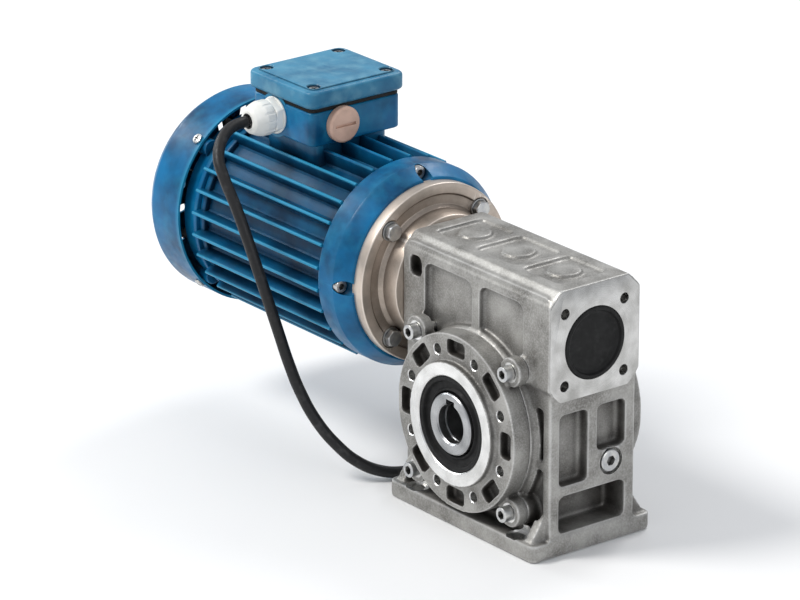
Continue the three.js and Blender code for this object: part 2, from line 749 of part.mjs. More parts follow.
function motorShaft() {
  const frontSeat = FRONT_BEARING_X;
  const rearSeat = REAR_BEARING_X;
  const journal = MOTOR_JOURNAL_R - GAP;
  const profile = [
    [0, FAN_X[0] - 1],
    [5.5, FAN_X[0] - 1],
    [5.5, rearSeat - 1],
    [journal, rearSeat - 1],
    [journal, rearSeat + MOTOR_BEARING_WIDTH + GAP],
    [9.2, rearSeat + MOTOR_BEARING_WIDTH + GAP],
    [9.2, frontSeat - GAP],
    [journal, frontSeat - GAP],
    [journal, FLANGE_FACE_X],
    [MOTOR_SHAFT_R, FLANGE_FACE_X],
    [MOTOR_SHAFT_R, MOTOR_SHAFT_TIP_X - 1],
    [MOTOR_SHAFT_R - 1, MOTOR_SHAFT_TIP_X],
    [0, MOTOR_SHAFT_TIP_X],
  ];
  const keyway = block([-90, -70], [-2.5, 2.5], [WORM_Z + 4, WORM_Z + 9]);
  return cut(turned("x", profile, SMALL, WORM_CENTRE), keyway);
}

function rearShield() {
  const seat = clear(MOTOR_BEARING_R + 0.1, BIG);
  const bearingTo = REAR_BEARING_X + MOTOR_BEARING_WIDTH + 1;
  const profile = [
    [10, REAR_SHIELD_X],
    [60, REAR_SHIELD_X],
    [62, REAR_SHIELD_X + 2],
    [62, FRAME_END_X - 5],
    [64, FRAME_END_X - 4],
    [64, FRAME_END_X - GAP],
    [50, FRAME_END_X - GAP],
    [46, REAR_SHIELD_X + 5],
    [24, REAR_SHIELD_X + 5],
    [24, bearingTo],
    [seat, bearingTo],
    [seat, REAR_BEARING_X - GAP],
    [10, REAR_BEARING_X - GAP],
    [10, REAR_SHIELD_X],
  ];
  const lugs = polar(4, Math.PI / 4).map((angle) => {
    const [y, z] = onWorm(62, angle);
    return rod("x", 5.8, REAR_SHIELD_X, COWL_X[1] + 3, TINY, [0, y, z]);
  });
  return join(turned("x", profile, BIG, WORM_CENTRE), ...lugs);
}

function fan() {
  const [from, to] = FAN_X;
  const disc = rod("x", FAN_R, to - 3, to, MID, WORM_CENTRE);
  const hub = rod("x", 11, from, to, SMALL, WORM_CENTRE);
  const blades = polar(BLADES).map((angle) => {
    const blade = block([from, to - 1], [9, FAN_R - 1], [-1.3, 1.3]);
    const turn = (angle * 180) / Math.PI;
    return blade.rotate([turn, 0, 0]).translate([0, 0, WORM_Z]);
  });
  const bore = drill("x", 5.8, from - 1, to + 1, SMALL, WORM_CENTRE);
  return cut(join(disc, hub, ...blades), bore);
}

// A drawn sheet cup whose closed end is pierced with two rings of air slots.
function fanCowl() {
  const [back, front] = COWL_X;
  const profile = [
    [0, back],
    [58, back],
    [66, back + 2.5],
    [COWL_R, back + 9],
    [COWL_R, front],
    [COWL_R - SHEET, front],
    [COWL_R - SHEET, back + 9.5],
    [65, back + 3.8],
    [57.5, back + SHEET],
    [0, back + SHEET],
  ];
  const slots = [[18, 34, 9, 0], [39, 54, 16, Math.PI / 16]].flatMap(([inner, outer, count, start]) =>
    polar(count, start).map((angle) => {
      const slot = block([back - 1, back + 4], [inner, outer], [-2.6, 2.6]);
      return slot.rotate([(angle * 180) / Math.PI, 0, 0]).translate([0, 0, WORM_Z]);
    }),
  );
  return cut(turned("x", profile, BIG, WORM_CENTRE), ...slots);
}

function addMotor() {
  add("input_flange", inputFlange(), FLANGE_METAL);
  polar(4, Math.PI / 4).forEach((angle, i) => {
    add(`flange_bolt_${i + 1}`, flangeBolt(...onWorm(FLANGE_BOLT_R, angle)), ZINC);
  });
  add("motor_front_shield", frontShield(), BLUE);
  add("motor_stator_frame", statorFrame(), BLUE);
  const [from, to] = CORE_X;
  add("stator_core", ring("x", FRAME_BORE_R - GAP, CORE_BORE_R, from, to, MID, WORM_CENTRE), STEEL);
  const head = (a, b) => {
    const profile = [[38, a], [48, a], [50, a + 3], [50, b], [36, b], [36, a + 3], [38, a]];
    return turned("x", profile, MID, WORM_CENTRE);
  };
  add("stator_winding_rear", head(from - 13, from - GAP), COPPER);
  add("stator_winding_front", head(-to - 13, -to - GAP).mirror([1, 0, 0]), COPPER);
  add("rotor_core", rotorCore(), STEEL);
  add("motor_shaft", motorShaft(), STEEL);
  const key = block([-89.7, -70.3], [-2.2, 2.2], [WORM_Z + 4.3, WORM_Z + 9.6]);
  add("motor_shaft_key", key, STEEL);
  const bearing = [MOTOR_BEARING_R, MOTOR_JOURNAL_R];
  addBearing("motor_front_bearing", "x", ...bearing, FRONT_BEARING_X, MOTOR_BEARING_WIDTH, WORM_CENTRE);
  addBearing("motor_rear_bearing", "x", ...bearing, REAR_BEARING_X, MOTOR_BEARING_WIDTH, WORM_CENTRE);
  add("motor_rear_shield", rearShield(), BLUE);
  add("motor_fan", fan(), BLACK_PLASTIC);
  add("motor_fan_cowl", fanCowl(), BLUE);
}

// ---- terminal box -------------------------------------------------------------------------

const boxOutline = (inset) =>
  chamfered(
    [BOX_X[0] + inset, BOX_X[1] - inset],
    [-BOX_HALF_WIDTH + inset, BOX_HALF_WIDTH - inset],
    Math.max(1, 5 - inset),
  );

const lidSpots = () =>
  [BOX_X[0] + LID_SCREW_INSET, BOX_X[1] - LID_SCREW_INSET].flatMap((x) =>
    [-1, 1].map((side) => [x, side * (BOX_HALF_WIDTH - LID_SCREW_INSET)]),
  );

function terminalBoxBase() {
  const [bottom, top] = BOX_Z;
  const shell = cut(
    extruded("z", boxOutline(0), bottom, top),
    extruded("z", boxOutline(BOX_WALL), bottom + BOX_WALL, top + 1),
  );
  const posts = lidSpots().map(([x, y]) => rod("z", 4.5, bottom + 1, top, TINY, [x, y, 0]));
  const screwHoles = lidSpots().map(([x, y]) => drill("z", 2.2, top - 12, top + 1, TINY, [x, y, 0]));
  const wires = block([-207, -189], [-12, 12], [bottom - 1, bottom + BOX_WALL + 1]);
  const side = -BOX_HALF_WIDTH;
  const glandHole = drill("y", ENTRY_R, side - 1, side + 5, SMALL, [GLAND_X, 0, ENTRY_Z]);
  const plugHole = drill("x", ENTRY_R, BOX_X[1] - 5, BOX_X[1] + 1, SMALL, [0, PLUG_Y, ENTRY_Z]);
  return cut(join(shell, ...posts), ...screwHoles, wires, glandHole, plugHole);
}

function terminalBoxGasket() {
  const from = BOX_Z[1] + GAP;
  const to = from + GASKET_THICKNESS;
  const sheet = extruded("z", boxOutline(0.5), from, to);
  return cut(sheet, extruded("z", boxOutline(BOX_WALL), from - 1, to + 1));
}

function terminalBoxLid() {
  const bottom = BOX_Z[1] + 2 * GAP + GASKET_THICKNESS;
  const proud = extruded("z", boxOutline(-LID_OVERHANG), bottom, LID_TOP_Z - 3);
  const crown = extruded("z", boxOutline(1), LID_TOP_Z - 4, LID_TOP_Z);
  const posts = lidSpots().map(([x, y]) => rod("z", 5, bottom, LID_TOP_Z - 3, TINY, [x, y, 0]));
  const hollow = cut(extruded("z", boxOutline(BOX_WALL), bottom - 1, LID_TOP_Z - 3), ...posts);
  const sunk = (r, from) =>
    lidSpots().map(([x, y]) => drill("z", r, from, LID_TOP_Z + 1, TINY, [x, y, 0]));
  const holes = sunk(2.4, bottom - 1);
  const sinks = sunk(4.4, LID_TOP_Z - SCREW_SINK);
  return cut(join(proud, crown), hollow, ...holes, ...sinks);
}

function lidScrew(x, y) {
  const seat = LID_TOP_Z - SCREW_SINK + GAP;
  const [tip, head] = [seat - 18, seat + 2.8];
  const profile = [[0, tip], [2, tip], [2, seat], [3.9, seat], [3.9, head], [0, head]];
  return turned("z", profile, TINY, [x, y, 0]);
}

// Moulded plate with its six terminal studs.
function terminalBoard() {
  const floor = BOX_Z[0] + BOX_WALL + GAP;
  const plate = block([-220, -210], [-20, 20], [floor, floor + 5]);
  const studs = [-12, 0, 12].map((y) => rod("z", 2, floor + 4, floor + 16, TINY, [-215, y, 0]));
  return join(plate, ...studs);
}

function glandBody() {
  const wall = -BOX_HALF_WIDTH;
  const flange = rod("y", 12.4, wall - 6.5, wall - GAP, 6, [GLAND_X, 0, ENTRY_Z]);
  const thread = rod("y", THREAD_R, wall - 1, wall + 7, SMALL, [GLAND_X, 0, ENTRY_Z]);
  return cut(join(flange, thread), drill("y", 5, wall - 10, wall + 10, TINY, [GLAND_X, 0, ENTRY_Z]));
}

function glandNut() {
  const from = -BOX_HALF_WIDTH - 6.5 - GAP;
  const profile = [
    [0, GLAND_END_Y],
    [6.4, GLAND_END_Y],
    [9.4, GLAND_END_Y + 3],
    [11.3, GLAND_END_Y + 8],
    [11.6, from],
    [0, from],
  ];
  return turned("y", profile, SMALL, [GLAND_X, 0, ENTRY_Z]);
}

function blankingPlug() {
  const wall = BOX_X[1];
  const profile = [[0, wall - 7], [THREAD_R, wall - 7], [THREAD_R, wall + GAP], [12, wall + GAP]];
  profile.push([12, wall + 4.5], [11, wall + 5.5], [0, wall + 5.5]);
  return turned("x", profile, SMALL, [0, PLUG_Y, ENTRY_Z]);
}

function addTerminalBox() {
  add("terminal_box", terminalBoxBase(), BLUE);
  add("terminal_box_gasket", terminalBoxGasket(), BLACK_RUBBER);
  add("terminal_box_lid", terminalBoxLid(), BLUE);
  lidSpots().forEach(([x, y], i) => add(`lid_screw_${i + 1}`, lidScrew(x, y), ZINC));
  add("terminal_board", terminalBoard(), BLACK_PLASTIC);
  add("cable_gland_body", glandBody(), PALE_PLASTIC);
  add("cable_gland_nut", glandNut(), PALE_PLASTIC);
  add("blanking_plug", blankingPlug(), BRASS);
}

// ---- supply cable -------------------------------------------------------------------------

const roundSection = (radius, sides) =>
  new THREE.Shape(
    polar(sides).map((angle) => new THREE.Vector2(radius * Math.cos(angle), radius * Math.sin(angle))),
  );

function tube(points, radius, steps) {
  const path = new THREE.CatmullRomCurve3(points.map((p) => v(...p)));
  const geometry = new THREE.ExtrudeGeometry(roundSection(radius, 8), { extrudePath: path, steps });
  return solid(geometry);
}

// A point beside the coil, measured along the straight tail from where the cable leaves it.
function onTail(distance, height) {
  const [cos, sin] = [Math.cos(TAIL_ANGLE), Math.sin(TAIL_ANGLE)];
  const r = COIL_TURN_R + CABLE_R;
  return [COIL_CENTRE[0] + r * cos - distance * sin, COIL_CENTRE[1] + r * sin + distance * cos, height];
}

// A strap round the coil's bundle, on the side away from the cable's two ends.
function coilTie() {
  const bundle = 2 * CABLE_R;
  const [low, high] = [0.2, COIL_LIFT + 2 * bundle + STRAP];
  const across = (spare) => [-COIL_TURN_R - bundle - spare, -COIL_TURN_R + bundle + spare];
  const outer = block(across(STRAP), [-2.2, 2.2], [low, high]);
  const inner = block(across(GAP), [-3, 3], [low + 0.9, high - 1]);
  return cut(outer, inner).translate([...COIL_CENTRE, 0]);
}

function cableConnector() {
  const [from, to] = [0, CONNECTOR_LENGTH];
  const profile = [
    [0, from],
    [5.2, from],
    [7.2, from + 9],
    [CONNECTOR_R - 1, from + 12],
    [CONNECTOR_R - 1, from + 28],
    [CONNECTOR_R, from + 29],
    [CONNECTOR_R, to],
    [7, to],
    [7, to - 7],
    [0, to - 7],
  ];
  const turn = (TAIL_ANGLE * 180) / Math.PI;
  return turned("y", profile, 16)
    .rotate([0, 0, turn])
    .translate(onTail(TAIL_LENGTH + GAP, CONNECTOR_R + 0.1));
}

function addCable() {
  add("supply_cable", tube(CABLE_ROUTE, CABLE_R, 26), BLACK_RUBBER);
  const [inner, outer] = [COIL_TURN_R - 2 * CABLE_R, COIL_TURN_R + 2 * CABLE_R];
  const height = COIL_LIFT + 4 * CABLE_R;
  const coil = ring("z", outer, inner, COIL_LIFT, height, MID, [...COIL_CENTRE, 0]);
  add("supply_cable_coil", coil, BLACK_RUBBER);
  add("supply_cable_tie", coilTie(), BLACK_PLASTIC);
  const level = CONNECTOR_R + 0.1;
  const tail = [onTail(TAIL_START, 11.4), onTail(TAIL_LENGTH - 6, level), onTail(TAIL_LENGTH, level)];
  add("supply_cable_tail", tube(tail, CABLE_R, 3), BLACK_RUBBER);
  add("supply_cable_connector", cableConnector(), BLACK_PLASTIC);
}

addGearbox();
addMotor();
addTerminalBox();
addCable();

export default group;
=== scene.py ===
import json
import math

import bmesh
import bpy
from mathutils import Matrix, Vector


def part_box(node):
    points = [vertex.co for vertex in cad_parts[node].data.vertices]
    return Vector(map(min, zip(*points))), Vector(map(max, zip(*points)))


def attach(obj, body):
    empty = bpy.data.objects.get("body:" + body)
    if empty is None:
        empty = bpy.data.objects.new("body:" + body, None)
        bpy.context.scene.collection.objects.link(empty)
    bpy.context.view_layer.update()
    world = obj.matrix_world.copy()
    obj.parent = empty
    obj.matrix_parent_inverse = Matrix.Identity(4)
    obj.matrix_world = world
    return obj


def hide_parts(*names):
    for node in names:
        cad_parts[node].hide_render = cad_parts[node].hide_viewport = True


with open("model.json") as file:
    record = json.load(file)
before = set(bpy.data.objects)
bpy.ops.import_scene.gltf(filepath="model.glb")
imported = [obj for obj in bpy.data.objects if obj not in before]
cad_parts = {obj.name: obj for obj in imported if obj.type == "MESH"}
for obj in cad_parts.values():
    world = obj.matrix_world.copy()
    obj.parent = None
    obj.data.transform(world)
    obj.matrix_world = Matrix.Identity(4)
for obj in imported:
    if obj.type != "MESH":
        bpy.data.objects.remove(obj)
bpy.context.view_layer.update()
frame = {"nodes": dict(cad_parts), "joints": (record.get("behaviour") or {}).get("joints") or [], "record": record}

MM = 0.001


def span(node, axis):
    low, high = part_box(node)
    return low[axis] / MM, high[axis] / MM


def radius_of(node, axis, centre):
    """The largest reach of a round node from its own centreline, across one axis."""
    low, high = span(node, axis)
    return max(high - centre, centre - low)


X, Y, Z = 0, 1, 2
JOINTS = {joint["name"]: joint for joint in frame["joints"]}
AXIS_Z = JOINTS["output_spin"]["pos_m"][Z] / MM
WORM_Z = JOINTS["rotor_spin"]["pos_m"][Z] / MM
OUTPUT = (0, 0, AXIS_Z)
WORM = (0, 0, WORM_Z)
FIXED, SLOW = "gearmotor", "output_shaft"

# ---- camera -------------------------------------------------------------------------------

AZIMUTH, ELEVATION = math.radians(52), math.radians(20.5)
DISTANCE = 3.36
LENS = 238
AIM = Vector((-0.106, -0.012, 0.113))
TO_CAMERA = Vector((
    math.sin(AZIMUTH) * math.cos(ELEVATION),
    -math.cos(AZIMUTH) * math.cos(ELEVATION),
    math.sin(ELEVATION),
))


def look(obj, place, target):
    obj.location = place
    obj.rotation_mode = "QUATERNION"
    obj.rotation_quaternion = (target - place).to_track_quat("-Z", "Y")
    bpy.context.collection.objects.link(obj)


def add_camera():
    data = bpy.data.cameras.new("camera")
    data.lens = LENS
    data.clip_start, data.clip_end = 0.1, 60
    camera = bpy.data.objects.new("camera", data)
    look(camera, AIM + TO_CAMERA * DISTANCE, AIM)
    bpy.context.scene.camera = camera


add_camera()

# ---- mesh helpers -------------------------------------------------------------------------

# A section's own coordinates a, b and its place t along an axis, as a point of the frame.
STAND = {
    "x": lambda a, b, t: (t, a, b),
    "y": lambda a, b, t: (b, t, a),
    "z": lambda a, b, t: (a, b, t),
}


def new_object(name, bm, centre=(0, 0, 0)):
    bmesh.ops.remove_doubles(bm, verts=bm.verts, dist=1e-4)
    bmesh.ops.recalc_face_normals(bm, faces=bm.faces)
    bmesh.ops.translate(bm, vec=centre, verts=bm.verts)
    bmesh.ops.scale(bm, vec=(MM, MM, MM), verts=bm.verts)
    mesh = bpy.data.meshes.new(name)
    bm.to_mesh(mesh)
    bm.free()
    obj = bpy.data.objects.new(name, mesh)
    bpy.context.collection.objects.link(obj)
    return obj


def circle(count, start=0.0):
    return [start + 2 * math.pi * i / count for i in range(count)]


def rounded(points, radius, closed=False, steps=4):
    """The outline with its corners turned into arcs, smaller ones beside short sides."""
    made = []
    last = len(points) - 1
    for i, point in enumerate(points):
        if not closed and i in (0, last):
            made.append(tuple(point))
            continue
        corner = Vector(point)
        back = Vector(points[i - 1]) - corner
        on = Vector(points[(i + 1) % len(points)]) - corner
        bend = back.angle(on)
        if bend > math.radians(168):
            made.append(tuple(point))
            continue
        reach = min(radius / math.tan(bend / 2), 0.46 * back.length, 0.46 * on.length)
        start = corner + back.normalized() * reach
        end = corner + on.normalized() * reach
        for k in range(steps + 1):
            s = k / steps
            made.append(tuple((1 - s) ** 2 * start + 2 * s * (1 - s) * corner + s * s * end))
    return made


def turned(axis, profile, centre=(0, 0, 0), sides=96):
    """A profile of (radius, place) turned round an axis; it ends on the axis or closes."""
    closed = tuple(profile[0]) == tuple(profile[-1])
    points = profile[:-1] if closed else profile
    bm = bmesh.new()
    rings = []
    for radius, along in points:
        if radius < 1e-6:
            rings.append([bm.verts.new(STAND[axis](0, 0, along))] * sides)
            continue
        place = [(radius * math.cos(turn), radius * math.sin(turn)) for turn in circle(sides)]
        rings.append([bm.verts.new(STAND[axis](a, b, along)) for a, b in place])
    following = rings[1:] + (rings[:1] if closed else [])
    for lower, upper in zip(rings, following):
        for i in range(sides):
            j = (i + 1) % sides
            corners = list(dict.fromkeys([lower[i], lower[j], upper[j], upper[i]]))
            if len(corners) > 2:
                bm.faces.new(corners)
    return new_object("turned", bm, centre)


def turned_ring(axis, section, corner, centre, sides=144):
    """A closed section with rounded corners, turned round an axis."""
    outline = rounded(section, corner, closed=True)
    return turned(axis, outline + outline[:1], centre, sides)


def turned_pin(axis, profile, corner, centre, sides=48):
    """A profile that begins and ends on the axis, with rounded corners, turned round it."""
    return turned(axis, rounded(profile, corner), centre, sides)


def prism(axis, outline, low, high, centre=(0, 0, 0), name="prism"):
    bm = bmesh.new()
    ends = [[bm.verts.new(STAND[axis](a, b, t)) for a, b in outline] for t in (low, high)]
    count = len(outline)
    for i in range(count):
        j = (i + 1) % count
        bm.faces.new((ends[0][i], ends[0][j], ends[1][j], ends[1][i]))
    bm.faces.new(ends[0])
    bm.faces.new(ends[1])
    return new_object(name, bm, centre)


def rectangle(a, b):
    return [(a[0], b[0]), (a[1], b[0]), (a[1], b[1]), (a[0], b[1])]


def block(x, y, z, corner=0.0):
    """A box; corner rounds its four edges along Y."""
    outline = rectangle(z, x)
    if corner:
        outline = rounded(outline, corner, closed=True)
    return prism("y", outline, min(y), max(y))


def disc_profile(radius, low, high):
    return [(0, low), (radius, low), (radius, high), (0, high)]


def rod(axis, radius, low, high, centre=(0, 0, 0), sides=48):
    return turned(axis, disc_profile(radius, low, high), centre, sides)


def soft_disc(axis, radius, low, high, corner, centre, sides=48):
    """A disc or short bar with rounded edges."""
    return turned_pin(axis, disc_profile(radius, low, high), corner, centre, sides)


def plate(x, y, low, high, corner, steps=4):
    """A flat plate with rounded corners, lying on XY."""
    return prism("z", rounded(rectangle(x, y), corner, closed=True, steps=steps), low, high)


def cross_slot(x, y, z, reach, width):
    """Two crossed slots for a screwdriver, on a head that faces up."""
    halves = ((reach, width), (width, reach))
    return [block((x - a, x + a), (y - b, y + b), z) for a, b in halves]


def bored(axis, radius, mouth, depth, centre, chamfer=0.5, sides=32):
    """A tool for a drilled hole from its mouth inwards, with a chamfer at the mouth."""
    way = 1 if depth > mouth else -1
    profile = [
        (0, mouth - way),
        (radius + chamfer + 1, mouth - way),
        (radius, mouth + way * chamfer),
        (radius, depth),
        (0, depth + way * radius * 0.5),
    ]
    return turned(axis, profile, centre, sides)


def applied(obj):
    """Applies every modifier of the object to its mesh."""
    graph = bpy.context.evaluated_depsgraph_get()
    mesh = bpy.data.meshes.new_from_object(obj.evaluated_get(graph), depsgraph=graph)
    obj.modifiers.clear()
    old = obj.data
    obj.data = mesh
    bpy.data.meshes.remove(old)
    return obj


def drop(obj):
    mesh = obj.data
    bpy.data.objects.remove(obj)
    bpy.data.meshes.remove(mesh)


def combined(body, others, operation):
    for other in others:
        step = body.modifiers.new("step", "BOOLEAN")
        step.operation = operation
        step.solver = "MANIFOLD"
        step.material_mode = "TRANSFER"
        step.object = other
    applied(body)
    for other in others:
        drop(other)
    return body


def join(body, *others):
    return combined(body, others, "UNION")


def cut(body, *tools):
    return combined(body, tools, "DIFFERENCE")


def cast(obj, voxel=1.0, passes=4):
    """Turns sharp solids into one casting with small fillets all over."""
    skin = obj.modifiers.new("skin", "REMESH")
    skin.mode = "VOXEL"
    skin.voxel_size = voxel * MM
    soften = obj.modifiers.new("soften", "SMOOTH")
    soften.factor = 0.5
    soften.iterations = passes
    applied(obj)
    obj.data.materials.clear()
    return obj


def bevelled(obj, width, segments=3, angle=40):
    edge = obj.modifiers.new("edge", "BEVEL")
    edge.width = width * MM
    edge.segments = segments
    edge.limit_method = "ANGLE"
    edge.angle_limit = math.radians(angle)
    return applied(obj)


def placed(obj, matrix):
    obj.data.transform(matrix)
    return obj


def shaded(obj, angle=35):
    obj.data.shade_smooth()
    obj.data.set_sharp_from_angle(angle=math.radians(angle))
    return obj


def piece(obj, name, body, slot, replaced=(), angle=35):
    """Names the piece, gives it its body and finish, and hides the nodes it stands for."""
    obj.name = name
    obj.data.name = name
    if obj.type == "MESH":
        shaded(obj, angle)
    obj.data.materials.clear()
    obj.data.materials.append(PAINTS[slot])
    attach(obj, body)
    for node in replaced:
        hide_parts(node)
    return obj


# ---- materials ----------------------------------------------------------------------------


class Finish:
    """A node material round one Principled surface. What stays the same is set on its sockets."""

    def __init__(self, name, **sockets):
        self.material = bpy.data.materials.new(name)
        self.material.use_nodes = True
        self.tree = self.material.node_tree
        self.surface = self.tree.nodes["Principled BSDF"]
        for socket, value in sockets.items():
            self.surface.inputs[socket.replace("_", " ")].default_value = value
        self.where = self.node("TexCoord").outputs["Object"]

    def node(self, kind, inputs=None, **settings):
        made = self.tree.nodes.new("ShaderNode" + kind)
        for key, value in settings.items():
            setattr(made, key, value)
        for socket, value in (inputs or {}).items():
            self.feed(made.inputs[socket], value)
        return made

    def feed(self, socket, value):
        if isinstance(value, bpy.types.NodeSocket):
            self.tree.links.new(value, socket)
        elif socket.type == "RGBA":
            socket.default_value = (*value, 1.0)
        else:
            socket.default_value = value

    def noise(self, size, detail=3.0, stretch=(1, 1, 1)):
        """Noise whose features are about `size` millimetres across."""
        where = self.where
        if stretch != (1, 1, 1):
            mapping = self.node("Mapping", {"Vector": where, "Scale": stretch})
            where = mapping.outputs["Vector"]
        inputs = {"Vector": where, "Scale": 1 / (size * MM), "Detail": detail}
        return self.node("TexNoise", inputs).outputs["Fac"]

    def turning(self, axis, centre, pitch):
        """Tool marks: noise that changes only with the distance from an axis."""
        parts = self.node("SeparateXYZ", {"Vector": self.where}).outputs
        squares = []
        for k in range(3):
            if k == axis:
                continue
            off = self.math("SUBTRACT", parts[k], centre[k] * MM)
            squares.append(self.math("MULTIPLY", off, off))
        radius = self.math("SQRT", self.math("ADD", *squares))
        inputs = {"W": radius, "Scale": 1 / (pitch * MM), "Detail": 2.0}
        return self.node("TexNoise", inputs, noise_dimensions="1D").outputs["Fac"]

    def math(self, operation, *values):
        made = self.node("Math", operation=operation)
        for socket, value in zip(made.inputs, values):
            self.feed(socket, value)
        return made.outputs["Value"]

    def spread(self, value, low, high, dark=0.0, light=1.0):
        inputs = {"Value": value, "From Min": low, "From Max": high, "To Min": dark, "To Max": light}
        return self.node("MapRange", inputs).outputs["Result"]

    def cloud(self, size, detail, low, high, dark=0.0, light=1.0):
        """Patches of noise, spread from dark to light."""
        return self.spread(self.noise(size, detail), low, high, dark, light)

    def mix(self, share, first, second):
        made = self.node("Mix", data_type="RGBA")
        for index, value in ((0, share), (6, first), (7, second)):
            self.feed(made.inputs[index], value)
        return made.outputs[2]

    def edges(self, low=0.5, high=0.58):
        """1 on convex edges, 0 elsewhere."""
        return self.spread(self.node("NewGeometry").outputs["Pointiness"], low, high)

    def shade_mask(self, reach, closed=0.25, open_air=0.95):
        """1 in the open, falling to 0 in pockets and corners: the mask for painted shade."""
        inputs = {"Distance": reach * MM}
        seen = self.node("AmbientOcclusion", inputs, samples=6, only_local=True)
        return self.spread(seen.outputs["AO"], closed, open_air)

    def colour(self, value):
        self.feed(self.surface.inputs["Base Color"], value)

    def roughness(self, value):
        self.feed(self.surface.inputs["Roughness"], value)

    def relief(self, *layers):
        """Bump layers of (height, strength, depth in millimetres)."""
        normal = None
        for height, strength, depth in layers:
            inputs = {"Height": height, "Strength": strength, "Distance": depth * MM}
            if normal is not None:
                inputs["Normal"] = normal
            normal = self.node("Bump", inputs).outputs["Normal"]
        self.feed(self.surface.inputs["Normal"], normal)


def cast_aluminium():
    finish = Finish("cast_aluminium", Metallic=0.55)
    blotch = finish.cloud(22, 4, 0.35, 0.65)
    grain = finish.noise(1.1, 2)
    tone = finish.mix(blotch, (0.17, 0.163, 0.150), (0.37, 0.362, 0.342))
    tone = finish.mix(finish.spread(grain, 0.4, 0.7, 0.0, 0.3), tone, (0.60, 0.595, 0.58))
    # Convex edges lightened: partly worn bare metal, partly a painted highlight.
    lightened_edges = finish.mix(finish.edges(0.52, 0.60), tone, (0.86, 0.855, 0.84))
    # Painted shade: near-black in pockets and corners, blotched by noise.
    patches = finish.cloud(7, 3, 0.3, 0.7)
    painted_pocket_shade = finish.mix(patches, (0.020, 0.018, 0.016), (0.075, 0.068, 0.06))
    finish.colour(finish.mix(finish.shade_mask(22, 0.42, 0.93), painted_pocket_shade, lightened_edges))
    finish.roughness(finish.cloud(5, 3, 0.3, 0.7, 0.38, 0.56))
    finish.relief((finish.noise(9, 2), 0.35, 0.5), (grain, 0.45, 0.16))
    return finish.material


def machined(name, axis, centre, light=(0.66, 0.655, 0.64), dark=(0.40, 0.395, 0.38)):
    """Bare turned metal with fine rings round an axis."""
    finish = Finish(name, Metallic=1.0)
    marks = finish.turning(axis, centre, 0.5)
    stain = finish.cloud(14, 4, 0.35, 0.7)
    finish.colour(finish.mix(stain, light, dark))
    finish.roughness(finish.spread(marks, 0.3, 0.7, 0.24, 0.42))
    finish.relief((marks, 0.3, 0.06))
    return finish.material


def flange_metal():
    """Turned face of the motor flange, with a warm tint painted in for warm light bounced onto it."""
    finish = Finish("flange_metal", Metallic=0.75)
    marks = finish.turning(X, WORM, 0.8)
    stain = finish.cloud(18, 4, 0.35, 0.65)
    # Warm tones are painted bounced light; the cloud varies them at random.
    tone = finish.mix(stain, (0.68, 0.575, 0.49), (0.43, 0.37, 0.315))
    # Painted highlight: rim and edges lightened to warm white.
    lightened_edges = finish.mix(finish.edges(0.51, 0.56), tone, (0.90, 0.82, 0.74))
    # Painted shade: dark brown in towards the case and the neck.
    finish.colour(finish.mix(finish.shade_mask(30, 0.4, 0.97), (0.085, 0.065, 0.05), lightened_edges))
    finish.roughness(finish.spread(marks, 0.3, 0.7, 0.30, 0.48))
    finish.relief((marks, 0.35, 0.08))
    return finish.material


def blue_paint(name, deep, full, dusty, dust=0.35):
    finish = Finish(name, Coat_Weight=0.07, Coat_Roughness=0.2, Specular_IOR_Level=0.22)
    patch = finish.cloud(30, 4, 0.35, 0.68)
    tone = finish.mix(patch, full, deep)
    settled = finish.cloud(11, 5, 0.45, 0.75, 0.0, dust)
    tone = finish.mix(settled, tone, dusty)
    lightened_edges = finish.mix(finish.edges(0.53, 0.62), tone, dusty)
    # Painted shade: near-black in crevices and pockets.
    finish.colour(finish.mix(finish.shade_mask(16), (0.0, 0.010, 0.028), lightened_edges))
    finish.roughness(finish.cloud(6, 3, 0.3, 0.7, 0.30, 0.48))
    finish.relief((finish.noise(2.6, 2), 0.25, 0.12), (finish.noise(0.8, 1), 0.12, 0.05))
    return finish.material


def bright_metal(name, tone, shade, roughness=(0.22, 0.40), size=1.2):
    finish = Finish(name, Metallic=1.0)
    fog = finish.cloud(8, 4, 0.35, 0.7)
    finish.colour(finish.mix(fog, tone, shade))
    finish.roughness(finish.spread(finish.noise(size, 3), 0.3, 0.7, *roughness))
    finish.relief((finish.noise(size, 2), 0.15, 0.05))
    return finish.material


def zinc_steel():
    finish = Finish("zinc_steel", Metallic=1.0)
    cloud = finish.cloud(4, 4, 0.35, 0.7)
    tone = finish.mix(cloud, (0.62, 0.62, 0.60), (0.42, 0.43, 0.45))
    # Painted shade: dark in sockets, slots and corners.
    finish.colour(finish.mix(finish.shade_mask(4), (0.06, 0.055, 0.05), tone))
    finish.roughness(finish.cloud(1.5, 3, 0.3, 0.7, 0.28, 0.48))
    finish.relief((finish.noise(0.9, 2), 0.2, 0.06))
    return finish.material


def moulded(name, tone, shade, roughness, grain=0.6, dust=None, shine=0.5):
    """Plastic or rubber straight from its mould, a little dusty."""
    finish = Finish(name, Specular_IOR_Level=shine)
    cloud = finish.cloud(12, 4, 0.35, 0.7)
    colour = finish.mix(cloud, tone, shade)
    if dust:
        colour = finish.mix(finish.cloud(5, 5, 0.52, 0.8, 0.0, 0.5), colour, dust)
    finish.colour(colour)
    finish.roughness(finish.cloud(3, 3, 0.3, 0.7, *roughness))
    finish.relief((finish.noise(grain, 2), 0.2, 0.06))
    return finish.material


